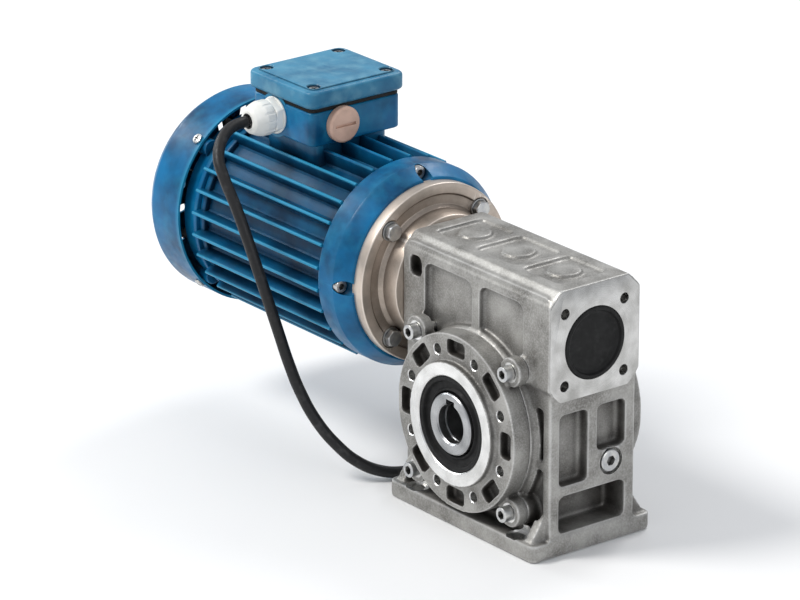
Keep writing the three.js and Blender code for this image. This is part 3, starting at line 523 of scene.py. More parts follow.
def cable_sheath():
    """Black sheath with the faint lay of its cores and scuffs of dust."""
    finish = Finish("cable_sheath", Specular_IOR_Level=0.32)
    scuff = finish.cloud(6, 5, 0.55, 0.8, 0.0, 0.6)
    finish.colour(finish.mix(scuff, (0.010, 0.010, 0.011), (0.055, 0.055, 0.055)))
    finish.roughness(finish.cloud(2, 3, 0.3, 0.7, 0.38, 0.58))
    finish.relief((finish.noise(1.0, 2), 0.15, 0.08))
    return finish.material


def wound_copper():
    finish = Finish("copper", Metallic=0.8)
    wires = finish.noise(0.9, 1, (0.15, 1, 1))
    finish.colour(finish.mix(finish.spread(wires, 0.4, 0.6), (0.50, 0.18, 0.07), (0.22, 0.06, 0.02)))
    finish.roughness(finish.spread(wires, 0.3, 0.7, 0.3, 0.5))
    finish.relief((wires, 0.8, 0.4))
    return finish.material


PAINTS = {
    "cast_aluminium": cast_aluminium(),
    "bare_flange": flange_metal(),
    "blue_paint": blue_paint(
        "blue_paint", (0.0, 0.040, 0.105), (0.0, 0.132, 0.31), (0.018, 0.24, 0.41)
    ),
    # The lid's copy of the blue paint is lighter: painted light on its top, with heavier dust.
    "lid_paint": blue_paint(
        "lid_paint", (0.012, 0.105, 0.21), (0.04, 0.205, 0.34), (0.14, 0.33, 0.43), 0.6
    ),
    "steel": machined("steel", Y, OUTPUT, (0.48, 0.485, 0.49), (0.28, 0.285, 0.29)),
    "zinc_steel": zinc_steel(),
    "bronze": bright_metal("bronze", (0.62, 0.42, 0.16), (0.40, 0.25, 0.09)),
    "brass": moulded("brass", (0.66, 0.44, 0.34), (0.48, 0.31, 0.24), (0.35, 0.5)),
    "copper": wound_copper(),
    "black_rubber": moulded(
        "black_rubber", (0.006,) * 3, (0.012,) * 3, (0.5, 0.7), dust=(0.03,) * 3, shine=0.22
    ),
    "black_plastic": moulded("black_plastic", (0.018, 0.018, 0.02), (0.03, 0.03, 0.032), (0.35, 0.5)),
    "pale_plastic": moulded("pale_plastic", (0.80, 0.80, 0.77), (0.68, 0.68, 0.64), (0.3, 0.45)),
    "cable_sheath": cable_sheath(),
}
# The faces along Y take a lighter copy of the ends' machined metal: painted light on the output rings.
MACHINED_Y_LIT = machined("machined_ring_lit", Y, OUTPUT, (0.84, 0.835, 0.82), (0.60, 0.595, 0.58))
MACHINED_X = machined("machined_end", X, WORM)


def paint_nodes():
    """Every node that stays in view takes its slot's finish."""
    for part in frame["record"]["subparts"]:
        mesh = frame["nodes"][part["node"]].data
        mesh.materials.clear()
        mesh.materials.append(PAINTS[part["material_slot"]])


paint_nodes()

# ---- supply cable -------------------------------------------------------------------------

CABLE_R = 3.75
CABLE_D = 2 * CABLE_R
COIL_CENTRE = (-130, 102)
COIL_TURN_R = 42
COIL_LIFT = 1.4
TAIL_ANGLE = math.radians(225)
TAIL_LENGTH = 42
CONNECTOR_R = 9.5
CONNECTOR_LENGTH = 46
JOG = math.radians(90)
POINTS_PER_TURN = 18
CABLE_ROUTE = [
    (-205, -58.4, 216),
    (-205, -61.5, 216),
    (-204, -71, 214.9),
    (-201, -79.5, 211.6),
    (-196.5, -86.5, 206.4),
    (-191, -91, 200),
    (-184.5, -92.5, 192.5),
    (-170.5, -92.5, 174),
    (-160.5, -91.5, 156),
    (-152.5, -89.5, 137),
    (-146.5, -86, 117),
    (-141.5, -82, 97),
    (-136.5, -78, 77),
    (-130.5, -73, 57),
    (-122, -67, 39),
    (-112, -59, 24),
    (-102, -49, 12.5),
    (-94, -37, 6),
    (-88.5, -24, CABLE_R),
    (-85.5, -9, CABLE_R),
    (-84.5, 8, CABLE_R),
    (-84.25, 30, CABLE_R),
    (-84.25, 54, 4.2),
    (-84.25, 75, 4.9),
]


def ease(share):
    share = min(1.0, max(0.0, share))
    return share * share * (3 - 2 * share)


def coil_route():
    """Strands lie outside then inside on the ground, then inside and outside on top of them.
    Each change of strand happens in the last part of a turn."""
    full = 2 * math.pi
    total = 3 * full + TAIL_ANGLE
    count = round(total / full * POINTS_PER_TURN)
    points = []
    for i in range(count + 1):
        angle = total * i / count
        inward, up, outward = (ease((angle - turns * full + JOG) / JOG) for turns in (1, 2, 3))
        radius = COIL_TURN_R + CABLE_R + CABLE_D * (outward - inward)
        height = COIL_LIFT + CABLE_R + CABLE_D * up
        points.append((
            COIL_CENTRE[0] + radius * math.cos(angle),
            COIL_CENTRE[1] + radius * math.sin(angle),
            height,
        ))
    return points


def on_tail(distance, height):
    cos, sin = math.cos(TAIL_ANGLE), math.sin(TAIL_ANGLE)
    radius = COIL_TURN_R + CABLE_R
    return (
        COIL_CENTRE[0] + radius * cos - distance * sin,
        COIL_CENTRE[1] + radius * sin + distance * cos,
        height,
    )


def add_cable():
    level = CONNECTOR_R + 0.1
    heights = ((13, 12.5), (25, 11.4), (TAIL_LENGTH - 7, level + 0.2), (TAIL_LENGTH, level))
    tail = [on_tail(*place) for place in heights]
    points = [Vector(p) * MM for p in CABLE_ROUTE + coil_route() + tail]
    data = bpy.data.curves.new("supply_lead", "CURVE")
    data.dimensions = "3D"
    data.resolution_u = 6
    data.bevel_depth = CABLE_R * MM
    data.bevel_resolution = 5
    data.use_fill_caps = True
    spline = data.splines.new("BEZIER")
    spline.bezier_points.add(len(points) - 1)
    for knot, point in zip(spline.bezier_points, points):
        knot.co = point
        knot.handle_left_type = "AUTO"
        knot.handle_right_type = "AUTO"
    lead = bpy.data.objects.new("supply_lead", data)
    bpy.context.collection.objects.link(lead)
    stands_for = ("supply_cable", "supply_cable_coil", "supply_cable_tail")
    piece(lead, "supply_lead", FIXED, "cable_sheath", stands_for)
    return lead, spline.calc_length()


def connector_body():
    """Inline connector: tapered ribbed boot, waist and grooved collar, open at the front."""
    low, high = 0.3, CONNECTOR_LENGTH + 0.3
    boot = [(0, low), (5.0, low)]
    for k in range(4):
        at = low + 1.5 + 2.6 * k
        swell = 5.2 + 0.55 * k
        boot += [(swell + 0.5, at), (swell + 0.6, at + 1.3)]
        boot += [(swell - 0.5, at + 1.6), (swell - 0.4, at + 2.4)]
    body = [(8.4, 12.8), (8.5, 28), (CONNECTOR_R, 29.5)]
    body += [(CONNECTOR_R, high - 0.6), (CONNECTOR_R - 0.7, high)]
    mouth = [(7.2, high), (7, high - 0.6), (7, high - 7), (0, high - 7)]
    shell = turned("y", rounded(boot + body + mouth, 0.6), sides=64)
    grooves = []
    for turn in circle(20):
        x, z = (CONNECTOR_R + 0.35) * math.sin(turn), (CONNECTOR_R + 0.35) * math.cos(turn)
        grooves.append(rod("y", 0.8, 31.5, high - 2.5, (x, 0, z), 10))
    return cut(shell, *grooves)


def connector_pins():
    places = [(3.6 * math.cos(turn), 0, 3.6 * math.sin(turn)) for turn in circle(4)]
    return join(*[rod("y", 1.1, 38.5, 44, place, 20) for place in places])


def coil_tie():
    """Hook-and-loop strap once round the bundle, with its end lapped over."""
    low, high = span("supply_cable_tie", Z)
    near, far = span("supply_cable_tie", X)
    ys = span("supply_cable_tie", Y)
    centre_x, centre_z = (near + far) / 2, (low + high) / 2
    half_x, half_z = (far - near) / 2, (high - low) / 2
    outer = rounded(rectangle((low, high), (near, far)), 4.5, closed=True, steps=8)
    thickness = 1.0
    shrink_z, shrink_x = 1 - thickness / half_z, 1 - thickness / half_x
    inner = [
        (centre_z + (z - centre_z) * shrink_z, centre_x + (x - centre_x) * shrink_x)
        for z, x in outer
    ]
    strap = cut(prism("y", outer, *ys), prism("y", inner, ys[0] - 1, ys[1] + 1))
    lap_y = (ys[0] + 0.2, ys[1] - 0.2)
    lap = block((centre_x - 4, centre_x + 5), lap_y, (high - 0.5, high + 0.5), 0.4)
    return bevelled(join(strap, lap), 0.25, 2)


def add_cable_pieces():
    turn = Matrix.Translation(Vector(on_tail(TAIL_LENGTH, CONNECTOR_R + 0.1)) * MM)
    turn = turn @ Matrix.Rotation(TAIL_ANGLE, 4, "Z")
    shell = placed(connector_body(), turn)
    pins = placed(connector_pins(), turn)
    piece(shell, "lead_connector", FIXED, "black_plastic", ["supply_cable_connector"])
    piece(pins, "lead_connector_pins", FIXED, "brass")
    piece(coil_tie(), "lead_coil_strap", FIXED, "black_plastic", ["supply_cable_tie"])


LEAD, LEAD_LENGTH = add_cable()
add_cable_pieces()

# ---- gearbox ------------------------------------------------------------------------------

HOUSING_X = span("gearbox_housing", X)
FOOT_Y, RING_Y = span("gearbox_housing", Y)
TOP_Z = span("gearbox_housing", Z)[1]
COVER_FRONT = span("side_cover", Y)[0]
BODY_HALF_WIDTH = 34
BODY_HALF_LENGTH = HOUSING_X[1] - 1
CASE_HALF_WIDTH = 36
CASE_BOTTOM = 101
BOSS_R = 57.5
BOSS_Y = 51.5
RING_R = 40
CHAMBER_R = 56
JOINT_Y = 38.5
SPIGOT_R = 52
SPIGOT_END = -33
SHOULDER_R = 27
BEARING_FLOOR = 33.8
SEAL_FLOOR = 46.7
LUG_CIRCLE = 65.5
LUG_R = 9.5
LUG_FACE = -46
TAPPED_CIRCLE = 47.5
FOOT_HEIGHT = 11
FOOT_HOLES = (50, 41)
END_HOLE_OFFSET = 23.5
OIL_PLUG = (0, 15, 53)
SEAL_R = radius_of("output_front_seal", X, 0)
BEARING_R = radius_of("output_front_bearing_outer_ring", X, 0)
WORM_BORE_R = radius_of("worm_near_bearing_outer_ring", Y, 0)
DIAGONALS = circle(4, math.pi / 4)


def on_output(radius, angle):
    return radius * math.cos(angle), AXIS_Z + radius * math.sin(angle)


def on_worm(radius, angle):
    return radius * math.cos(angle), WORM_Z + radius * math.sin(angle)


def both(inner, outer, side):
    """A stretch between two distances on one side of the middle."""
    return sorted((side * inner, side * outer))


def corners(a, b):
    return [(side_a * a, side_b * b) for side_a in (-1, 1) for side_b in (-1, 1)]


LUGS = [on_output(LUG_CIRCLE, turn) for turn in DIAGONALS]


def face_pockets(side):
    """Cast pockets that leave eight spokes round the output ring."""
    tools = []
    for turn in circle(8):
        outline = rounded(rectangle((43.8, 54), (-8.6, 8.6)), 3, closed=True)
        low, high = both(BOSS_Y - 7, BOSS_Y + 2, side)
        tool = prism("y", [(b, a) for a, b in outline], low, high)
        spin = Matrix.Rotation(-turn, 4, "Y")
        tools.append(placed(tool, Matrix.Translation((0, 0, AXIS_Z * MM)) @ spin))
    return tools


def tapped_face_holes(side):
    tools = []
    for turn in circle(8, math.pi / 8):
        x, z = on_output(TAPPED_CIRCLE, turn)
        tools.append(bored("y", 3.4, side * BOSS_Y, side * (BOSS_Y - 14), (x, 0, z)))
    return tools


def side_pockets(side):
    """Hollows between the ribs, outside the wheel chamber and clear of the lugs. They are deep
    next to the chamber and shallow at the corner posts, whose ends have pockets of their own."""
    tools = []
    for end in (-1, 1):
        for reach, floor in ((48, 17), (64, 28.5)):
            x = both(20, reach, end)
            low, high = both(floor, BODY_HALF_WIDTH + 2, side)
            for z in ((FOOT_HEIGHT + 4, 56), (62, CASE_BOTTOM - 5)):
                keep = [rod("y", 61, low - 5, high + 5, OUTPUT, 96)]
                keep += [rod("y", LUG_R, low - 4, high + 4, (a, 0, b), 32) for a, b in LUGS]
                tools.append(cut(block(x, (low, high), z, 3), *keep))
    return tools


def case_recesses():
    """Shallow panels in the worm case's sides, and deep notches over the flange screws."""
    tools = []
    for side in (-1, 1):
        depth = both(CASE_HALF_WIDTH - 4.2, CASE_HALF_WIDTH + 2, side)
        for x in ((-50, -4), (4, 46)):
            boss = rod("y", BOSS_R + 1.5, -50, 50, OUTPUT, 96)
            tools.append(cut(block(x, depth, (110, 160), 6), boss))
        notch = both(CASE_HALF_WIDTH - 9, CASE_HALF_WIDTH + 2, side)
        for z in (WORM_Z - 22, WORM_Z + 20):
            tools.append(block((-65, -54), notch, (z - 6.5, z + 6.5), 4))
    return tools


def top_recesses():
    """The top is relieved between an edge bead, cross ribs and three round pads."""
    tools = []
    for x in ((-62, -28), (-22, 18), (24, 60)):
        pad = rod("z", 10.5, TOP_Z - 6, TOP_Z + 6, (sum(x) / 2, 0, 0))
        tools.append(cut(plate(x, (-19, 19), TOP_Z - 2.2, TOP_Z + 3, 5), pad))
    return tools


def end_pockets():
    """A wide pocket over the foot and two tall ones above it, at both ends."""
    tools = []
    for end in (-1, 1):
        for floor, y, z in (
            (52, (-26, 26), (FOOT_HEIGHT + 3, 38)),
            (62.5, (-26, -4), (45, 92)),
            (62.5, (4, 26), (62, 92)),
        ):
            outline = rounded(rectangle(y, z), 4, closed=True)
            tools.append(prism("x", outline, *both(floor, HOUSING_X[1] + 2, end)))
    return tools


def housing_solids():
    """Middle body, eight-sided worm case, bosses, output ring, foot, lugs and gussets."""
    middle = block(
        (-BODY_HALF_LENGTH, BODY_HALF_LENGTH),
        (-BODY_HALF_WIDTH, BODY_HALF_WIDTH),
        (2, TOP_Z - 4),
        7,
    )
    half, slope = CASE_HALF_WIDTH, 9
    case_outline = [
        (-half + slope, CASE_BOTTOM),
        (half - slope, CASE_BOTTOM),
        (half, CASE_BOTTOM + slope),
        (half, TOP_Z - slope),
        (half - slope, TOP_Z),
        (-half + slope, TOP_Z),
        (-half, TOP_Z - slope),
        (-half, CASE_BOTTOM + slope),
    ]
    parts = [
        prism("x", rounded(case_outline, 3, closed=True), *HOUSING_X),
        rod("y", BOSS_R, -JOINT_Y + 0.3, 1, OUTPUT, 128),
        rod("y", BOSS_R, 0, BOSS_Y, OUTPUT, 128),
        rod("y", RING_R, 0.5, RING_Y, OUTPUT, 128),
        plate(HOUSING_X, (FOOT_Y, -FOOT_Y), 0, FOOT_HEIGHT, 6),
    ]
    parts += [rod("y", LUG_R, -JOINT_Y + 0.3, 1.5, (x, 0, z), 40) for x, z in LUGS]
    for x in (-63.5, 63.5):
        for side in (-1, 1):
            gusset = [(side * 30, FOOT_HEIGHT - 1), (side * 46, FOOT_HEIGHT - 1), (side * 30, 34)]
            parts.append(prism("x", gusset, x - 3.5, x + 3.5))
    return join(middle, *parts)


def bearing_space():
    """The turned inside: cover opening, chamber, rear bearing seat and rear seal seat."""
    profile = [
        (0, -JOINT_Y - 2),
        (SPIGOT_R + 0.3, -JOINT_Y - 2),
        (SPIGOT_R + 0.3, SPIGOT_END),
        (CHAMBER_R, SPIGOT_END),
        (CHAMBER_R, 30),
        (40.5, 30),
        (40.5, 18.5),
        (BEARING_R + 0.1, 18.5),
        (BEARING_R + 0.1, BEARING_FLOOR),
        (SHOULDER_R, BEARING_FLOOR),
        (SHOULDER_R, SEAL_FLOOR),
        (SEAL_R + 0.1, SEAL_FLOOR),
        (SEAL_R + 0.1, RING_Y - 0.8),
        (SEAL_R + 1.4, RING_Y + 0.5),
        (SEAL_R + 1.4, RING_Y + 3),
        (0, RING_Y + 3),
    ]
    return turned("y", profile, OUTPUT, 128)


def facing_tool(face):
    """A slab that planes an output ring flat, from its face outwards."""
    depth = both(abs(face), abs(face) + 6, math.copysign(1, face))
    return block((-90, 90), depth, (-20, 200))


def with_paint(tools, paint):
    for tool in tools:
        tool.data.materials.append(paint)
    return tools


def add_casting(body, name, replaced):
    """A casting whose cut faces keep the machined finish of their tools."""
    body.name = name
    body.data.name = name
    shaded(body, 32)
    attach(body, FIXED)
    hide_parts(replaced)


def turned_cuts():
    """Chamber and seats, the planed ring and the tapped holes, all along Y."""
    tools = [bearing_space(), facing_tool(RING_Y - 0.15), *tapped_face_holes(1)]
    return tools + [bored("y", 3.3, -JOINT_Y, -20, (x, 0, z)) for x, z in LUGS]


def end_cuts():
    """Worm bore, planed ends with their tapped holes, and the oil plug's hole, along X."""
    face = HOUSING_X[1]
    tools = [rod("x", WORM_BORE_R + 0.2, -80, 80, WORM, 96)]
    for end in (-1, 1):
        tools.append(block(both(face - 0.2, face + 4, end), (-60, 60), (95, 180)))
        for y, z in corners(END_HOLE_OFFSET, END_HOLE_OFFSET):
            tools.append(bored("x", 3.4, end * face, end * (face - 14), (0, y, WORM_Z + z)))
    tools.append(rod("x", 5.3, 50, 80, OIL_PLUG, 32))
    tools.append(rod("x", 9, 66, 80, OIL_PLUG, 48))
    return tools


def foot_cuts():
    """Planed underside, and four holes with spot faces."""
    tools = [block((-90, 90), (-60, 60), (-6, 0.15))]
    for x, y in corners(*FOOT_HOLES):
        tools.append(rod("z", 4.2, -2, FOOT_HEIGHT + 4, (x, y, 0), 32))
        tools.append(rod("z", 7.8, FOOT_HEIGHT - 0.8, FOOT_HEIGHT + 4, (x, y, 0), 40))
    return tools


def add_housing():
    body = housing_solids()
    pockets = [*face_pockets(1), *side_pockets(-1), *side_pockets(1), *case_recesses()]
    body = cut(body, *pockets, *end_pockets())
    body = cut(body, *top_recesses())
    body = cast(body, 1.15, 3)
    body.data.materials.append(PAINTS["cast_aluminium"])
    cut(body, *with_paint(turned_cuts(), MACHINED_Y_LIT))
    cut(body, *with_paint(end_cuts(), MACHINED_X), *with_paint(foot_cuts(), MACHINED_Y_LIT))
    add_casting(body, "gearbox_casting", "gearbox_housing")


def add_cover():
    """Side cover: ring, spoked disc, spigot and four lugs, with its bearing and seal seats."""
    section = [
        (SHOULDER_R, SPIGOT_END),
        (SHOULDER_R, COVER_FRONT),
        (RING_R, COVER_FRONT),
        (RING_R, -BOSS_Y),
        (BOSS_R, -BOSS_Y),
        (BOSS_R, -JOINT_Y),
        (SPIGOT_R, -JOINT_Y),
        (SPIGOT_R, SPIGOT_END),
        (SHOULDER_R, SPIGOT_END),
    ]
    body = turned("y", section, OUTPUT, 128)
    lugs = [rod("y", LUG_R, LUG_FACE, -JOINT_Y, (x, 0, z), 40) for x, z in LUGS]
    body = cut(join(body, *lugs), *face_pockets(-1))
    body = cast(body, 0.9, 4)
    body.data.materials.append(PAINTS["cast_aluminium"])
    seats = [
        (0, COVER_FRONT - 3),
        (SEAL_R + 1.4, COVER_FRONT - 3),
        (SEAL_R + 1.4, COVER_FRONT - 0.5),
        (SEAL_R + 0.1, COVER_FRONT + 0.8),
        (SEAL_R + 0.1, -SEAL_FLOOR),
        (SHOULDER_R, -SEAL_FLOOR),
        (SHOULDER_R, -BEARING_FLOOR),
        (BEARING_R + 0.1, -BEARING_FLOOR),
        (BEARING_R + 0.1, -30),
        (0, -30),
    ]
    inner, outer, face, back = SPIGOT_R - 0.1, 90, -JOINT_Y + 0.1, -20
    joint = [(inner, face), (outer, face), (outer, back), (inner, back), (inner, face)]
    cuts = [
        turned("y", seats, OUTPUT, 128),
        facing_tool(COVER_FRONT + 0.15),
        *tapped_face_holes(-1),
        turned("y", joint, OUTPUT, 128),
    ]
    for x, z in LUGS:
        cuts.append(rod("y", 3.3, -60, -20, (x, 0, z), 32))
        cuts.append(rod("y", 6.4, LUG_FACE - 12, LUG_FACE + 0.4, (x, 0, z), 40))
    cut(body, *with_paint(cuts, MACHINED_Y_LIT))
    add_casting(body, "cover_casting", "side_cover")


def hexagon(flats, start=0.0):
    corner = flats / 2 / math.cos(math.pi / 6)
    return [(corner * math.cos(t), corner * math.sin(t)) for t in circle(6, start)]


def socket_screw(x, z, name, node):
    """Socket-head screw: rounded head, hexagon socket, chamfered shank."""
    head, seat = span(node, Y)[0], LUG_FACE + 0.1
    profile = [(0, head), (4.9, head), (4.9, seat), (3, seat), (3, -24.6), (2.4, -24), (0, -24)]
    screw = turned_pin("y", profile, 0.5, (x, 0, z))
    key = prism("y", hexagon(5.2), head - 1, head + 3.2, (x, 0, z))
    return piece(cut(screw, key), name, FIXED, "zinc_steel", [node])


def add_shaft():
    """Hollow shaft: chamfered ends, snap-ring grooves, bore and keyway."""
    low, high = span("hollow_output_shaft", Y)
    shaft_r, bore_r, hub_r = 20, 12.5, 37.8
    profile = [
        (bore_r + 1, low),
        (shaft_r - 0.8, low),
        (shaft_r, low + 0.8),
        (shaft_r, -18.2),
        (23, -18.2),
        (23, -17.5),
        (hub_r, -17.5),
        (hub_r, 17.5),
        (23, 17.5),
        (23, 18.2),
        (shaft_r, 18.2),
        (shaft_r, high - 0.8),
        (shaft_r - 0.8, high),
        (bore_r + 1, high),
        (bore_r, high - 1),
        (bore_r, high - 6),
        (bore_r + 0.9, high - 6),
        (bore_r + 0.9, high - 7.4),
        (bore_r, high - 7.4),
        (bore_r, low + 7.4),
        (bore_r + 0.9, low + 7.4),
        (bore_r + 0.9, low + 6),
        (bore_r, low + 6),
        (bore_r, low + 1),
        (bore_r + 1, low),
    ]
    shaft = turned("y", profile, OUTPUT, 128)
    key = block((-4, 4), (low - 4, high + 4), (AXIS_Z + 8, AXIS_Z + 15.8), 0.3)
    shaft = cut(shaft, key)
    piece(shaft, "hollow_shaft", SLOW, "steel", ["hollow_output_shaft"], 30)


def lip_seal(name, node, side):
    """Rotary lip seal: rubber-covered case, dished face and a lip that meets the shaft."""
    low, high = span(node, Y)
    outside, inside = (low, high) if side < 0 else (high, low)
    into = 1 if inside > outside else -1
    points = [
        (SEAL_R - 0.6, outside),
        (SEAL_R, outside + into * 0.6),
        (SEAL_R, inside),
        (26, inside),
        (22.5, inside),
        (20.5, outside + into * 4.6),
        (20.3, outside + into * 4.0),
        (21.4, outside + into * 1.2),
        (22.2, outside + into * 0.9),
        (23.4, outside + into * 2.6),
        (27.2, outside + into * 2.4),
        (28.0, outside + into * 0.2),
        (28.6, outside),
    ]
    seal = turned_ring("y", points, 0.4, OUTPUT, 128)
    piece(seal, name, FIXED, "black_rubber", [node])


def add_gearbox_fittings():
    for i, (x, z) in enumerate(LUGS, 1):
        socket_screw(x, z, f"cover_screw_{i}", f"side_cover_screw_{i}")
    lip_seal("front_lip_seal", "output_front_seal", -1)
    lip_seal("rear_lip_seal", "output_rear_seal", 1)
    cap_low, cap_high = span("worm_end_cap", X)
    cap_r = WORM_BORE_R
    cap = [
        (0, cap_low),
        (cap_r - 0.8, cap_low),
        (cap_r, cap_low + 0.8),
        (cap_r, cap_high - 1.2),
        (cap_r - 0.7, cap_high - 0.1),
        (cap_r - 2.6, cap_high),
        (cap_r - 3.4, cap_high - 1.7),
        (cap_r - 5.2, cap_high - 2.3),
        (8, cap_high - 2.0),
        (0, cap_high - 1.8),
    ]
    cap = turned_pin("x", cap, 0.5, WORM, 96)
    piece(cap, "worm_cap", FIXED, "black_rubber", ["worm_end_cap"])
    plug_low, plug_high = span("oil_plug", X)
    head = plug_high - 4.7
    profile = [
        (0, plug_low),
        (5, plug_low),
        (5, head),
        (7.9, head),
        (7.9, head + 1.4),
        (7.2, head + 1.5),
        (7.2, plug_high - 0.5),
        (6.6, plug_high),
        (0, plug_high),
    ]
    plug = turned_pin("x", profile, 0.25, OIL_PLUG)
    plug = cut(plug, prism("x", hexagon(6), plug_high - 3, plug_high + 1, OIL_PLUG))
    piece(plug, "oil_filler_plug", FIXED, "zinc_steel", ["oil_plug"])


add_housing()
add_cover()
add_shaft()
add_gearbox_fittings()

# ---- motor --------------------------------------------------------------------------------

FLANGE_X = span("input_flange", X)
FLANGE_R = radius_of("input_flange", Y, 0)
SHIELD_X = span("motor_front_shield", X)
SHIELD_R = radius_of("motor_front_shield", Y, 0)
FRAME_X = span("motor_stator_frame", X)
FIN_R = 68
BARREL_R = 58
FIN_COUNT = 28
REAR_X = span("motor_rear_shield", X)
COWL_X = span("motor_fan_cowl", X)
COWL_R = radius_of("motor_fan_cowl", Y, 0)
SHEET = 1.5
FLANGE_BOLTS = [on_worm(50, turn) for turn in DIAGONALS]
SHIELD_BOLTS = [on_worm(62.5, turn) for turn in circle(4)]
WIRE_HOLE = ((-207, -189), (-12, 12))


def add_flange():
    """Round flange with a raised neck and four spot-faced holes."""
    face, neck_end = FLANGE_X
    back = face + 10
    section = [
        (24, face + 4),
        (35.3, face + 4),
        (35.3, face),
        (FLANGE_R, face),
        (FLANGE_R, back),
        (52, back),
        (51, back - 1.2),
        (45, back - 1.2),
        (43, back + 1.5),
        (41.5, neck_end),
        (24, neck_end),
    ]
    holes = []
    for y, z in FLANGE_BOLTS:
        holes.append(rod("x", 3.4, face - 2, back + 2, (0, y, z), 32))
        holes.append(rod("x", 7.4, back - 1.2, back + 4, (0, y, z), 40))
    flange = cut(turned_ring("x", section, 0.9, WORM), *holes)
    piece(flange, "motor_flange", FIXED, "bare_flange", ["input_flange"], 30)


def add_hexagon_bolt(i):
    """Hexagon bolt with a washer and a chamfered head."""
    node = f"flange_bolt_{i + 1}"
    tip, top = span(node, X)
    at = (0, *FLANGE_BOLTS[i])
    seat = FLANGE_X[0] + 8.9
    head = prism("x", hexagon(10, DIAGONALS[i]), seat + 1.2, top, at)
    crown = [(0, seat), (5, seat), (7.2, seat + 1.2), (7.2, top - 1.8), (4.8, top), (0, top)]
    combined(head, [turned("x", crown, at, 48)], "INTERSECT")
    shank = soft_disc("x", 3, tip, seat + 2, 0.5, at, 32)
    bolt = join(head, shank, soft_disc("x", 6.4, seat, seat + 1.4, 0.3, at))
    piece(bolt, f"motor_bolt_{i + 1}", FIXED, "zinc_steel", [node])


def add_front_shield():
    """Stepped end shield with clearance for the flange bolts and four sunk bolts of its own."""
    end, front = SHIELD_X
    section = [
        (9.5, front - 12),
        (9.5, front - 2.4),
        (35, front - 2.4),
        (35, front),
        (60.6, front),
        (62.5, front - 3.6),
        (66.2, front - 9.5),
        (SHIELD_R, front - 11.5),
        (SHIELD_R, end),
        (54, end),
        (48, front - 14.7),
        (24, front - 10.7),
        (24, end + 1),
        (17.6, end + 1),
        (17.6, front - 12),
    ]
    seat = front - 12
    tools = [rod("x", 3.3, -112, front + 2, (0, y, z), 24) for y, z in FLANGE_BOLTS]
    tools += [rod("x", 4.7, seat, front + 2, (0, y, z), 32) for y, z in SHIELD_BOLTS]
    shield = cut(turned_ring("x", section, 1.4, WORM), *tools)
    piece(shield, "front_end_shield", FIXED, "blue_paint", ["motor_front_shield"], 30)
    for i, place in enumerate(SHIELD_BOLTS, 1):
        bolt = soft_disc("x", 4.1, seat, seat + 4, 0.4, (0, *place), 32)
        cut(bolt, prism("x", hexagon(4), seat + 1.6, seat + 5, (0, *place)))
        piece(bolt, f"end_shield_bolt_{i}", FIXED, "zinc_steel")


def finned_outline():
    """Barrel with tapered fins: wide at the root, round at the tip."""
    outline = []
    step = 2 * math.pi / FIN_COUNT
    for i in range(FIN_COUNT):
        middle = (i + 0.5) * step
        root, tip = 2.0, 1.15
        half = [(BARREL_R, step / 2 * BARREL_R), (BARREL_R, root + 1.2), (BARREL_R + 0.9, root)]
        for k in range(5):
            bend = k / 4 * math.pi / 2
            half.append((FIN_R - tip + tip * math.sin(bend), tip * math.cos(bend)))
        left = [(radius, -off) for radius, off in half]
        right = [(radius, off) for radius, off in reversed(half[:-1])]
        for radius, off in (left + right)[:-1]:
            turn = middle + off / radius
            outline.append((radius * math.cos(turn), WORM_Z + radius * math.sin(turn)))
    return outline


def add_stator_frame():
    """Finned barrel with plain bands at its ends and a seat under the terminal box."""
    low, high = FRAME_X
    barrel = prism("x", finned_outline(), low, high)
    bands = [soft_disc("x", 61.5, a, a + 5, 1.2, WORM, 144) for a in (low, high - 5)]
    seat_top = span("motor_stator_frame", Z)[1]
    box = span("terminal_box", X)
    seat = plate((box[0] + 5, box[1] - 5), (-29, 29), WORM_Z + 50, seat_top, 6)
    bore = rod("x", 52.3, low - 2, high + 2, WORM, 96)
    wires = plate(*WIRE_HOLE, WORM_Z + 40, seat_top + 2, 4)
    body = cut(join(barrel, *bands, seat), bore, wires)
    piece(body, "finned_frame", FIXED, "blue_paint", ["motor_stator_frame"], 32)


def add_rear_shield():
    """Rear shield with a rim that carries the cowl on four round lugs."""
    low, high = REAR_X
    section = [
        (10, low),
        (60, low),
        (62, low + 2),
        (62, high - 4.5),
        (64, high - 3.5),
        (64, high),
        (50, high),
        (46, low + 5),
        (24, low + 5),
        (24, low + 14.7),
        (17.6, low + 14.7),
        (17.6, low + 2.4),
        (10, low + 2.4),
    ]
    shield = turned_ring("x", section, 0.9, WORM)
    lugs = []
    for turn in DIAGONALS:
        lugs.append(soft_disc("x", 5.8, low, COWL_X[1] + 3, 0.8, (0, *on_worm(62, turn)), 40))
    shield = join(shield, *lugs)
    piece(shield, "rear_end_shield", FIXED, "blue_paint", ["motor_rear_shield"], 32)


def slot_tool(inner, outer, turn):
    """A radial slot with round ends through the back of the cowl."""
    half = 2.6
    sides = rectangle((-half, half), (inner, outer))
    outline = rounded(sides, half - 0.05, closed=True, steps=6)
    tool = prism("x", outline, COWL_X[0] - 2, COWL_X[0] + 6)
    spin = Matrix.Rotation(turn, 4, "X")
    return placed(tool, Matrix.Translation((0, 0, WORM_Z * MM)) @ spin)


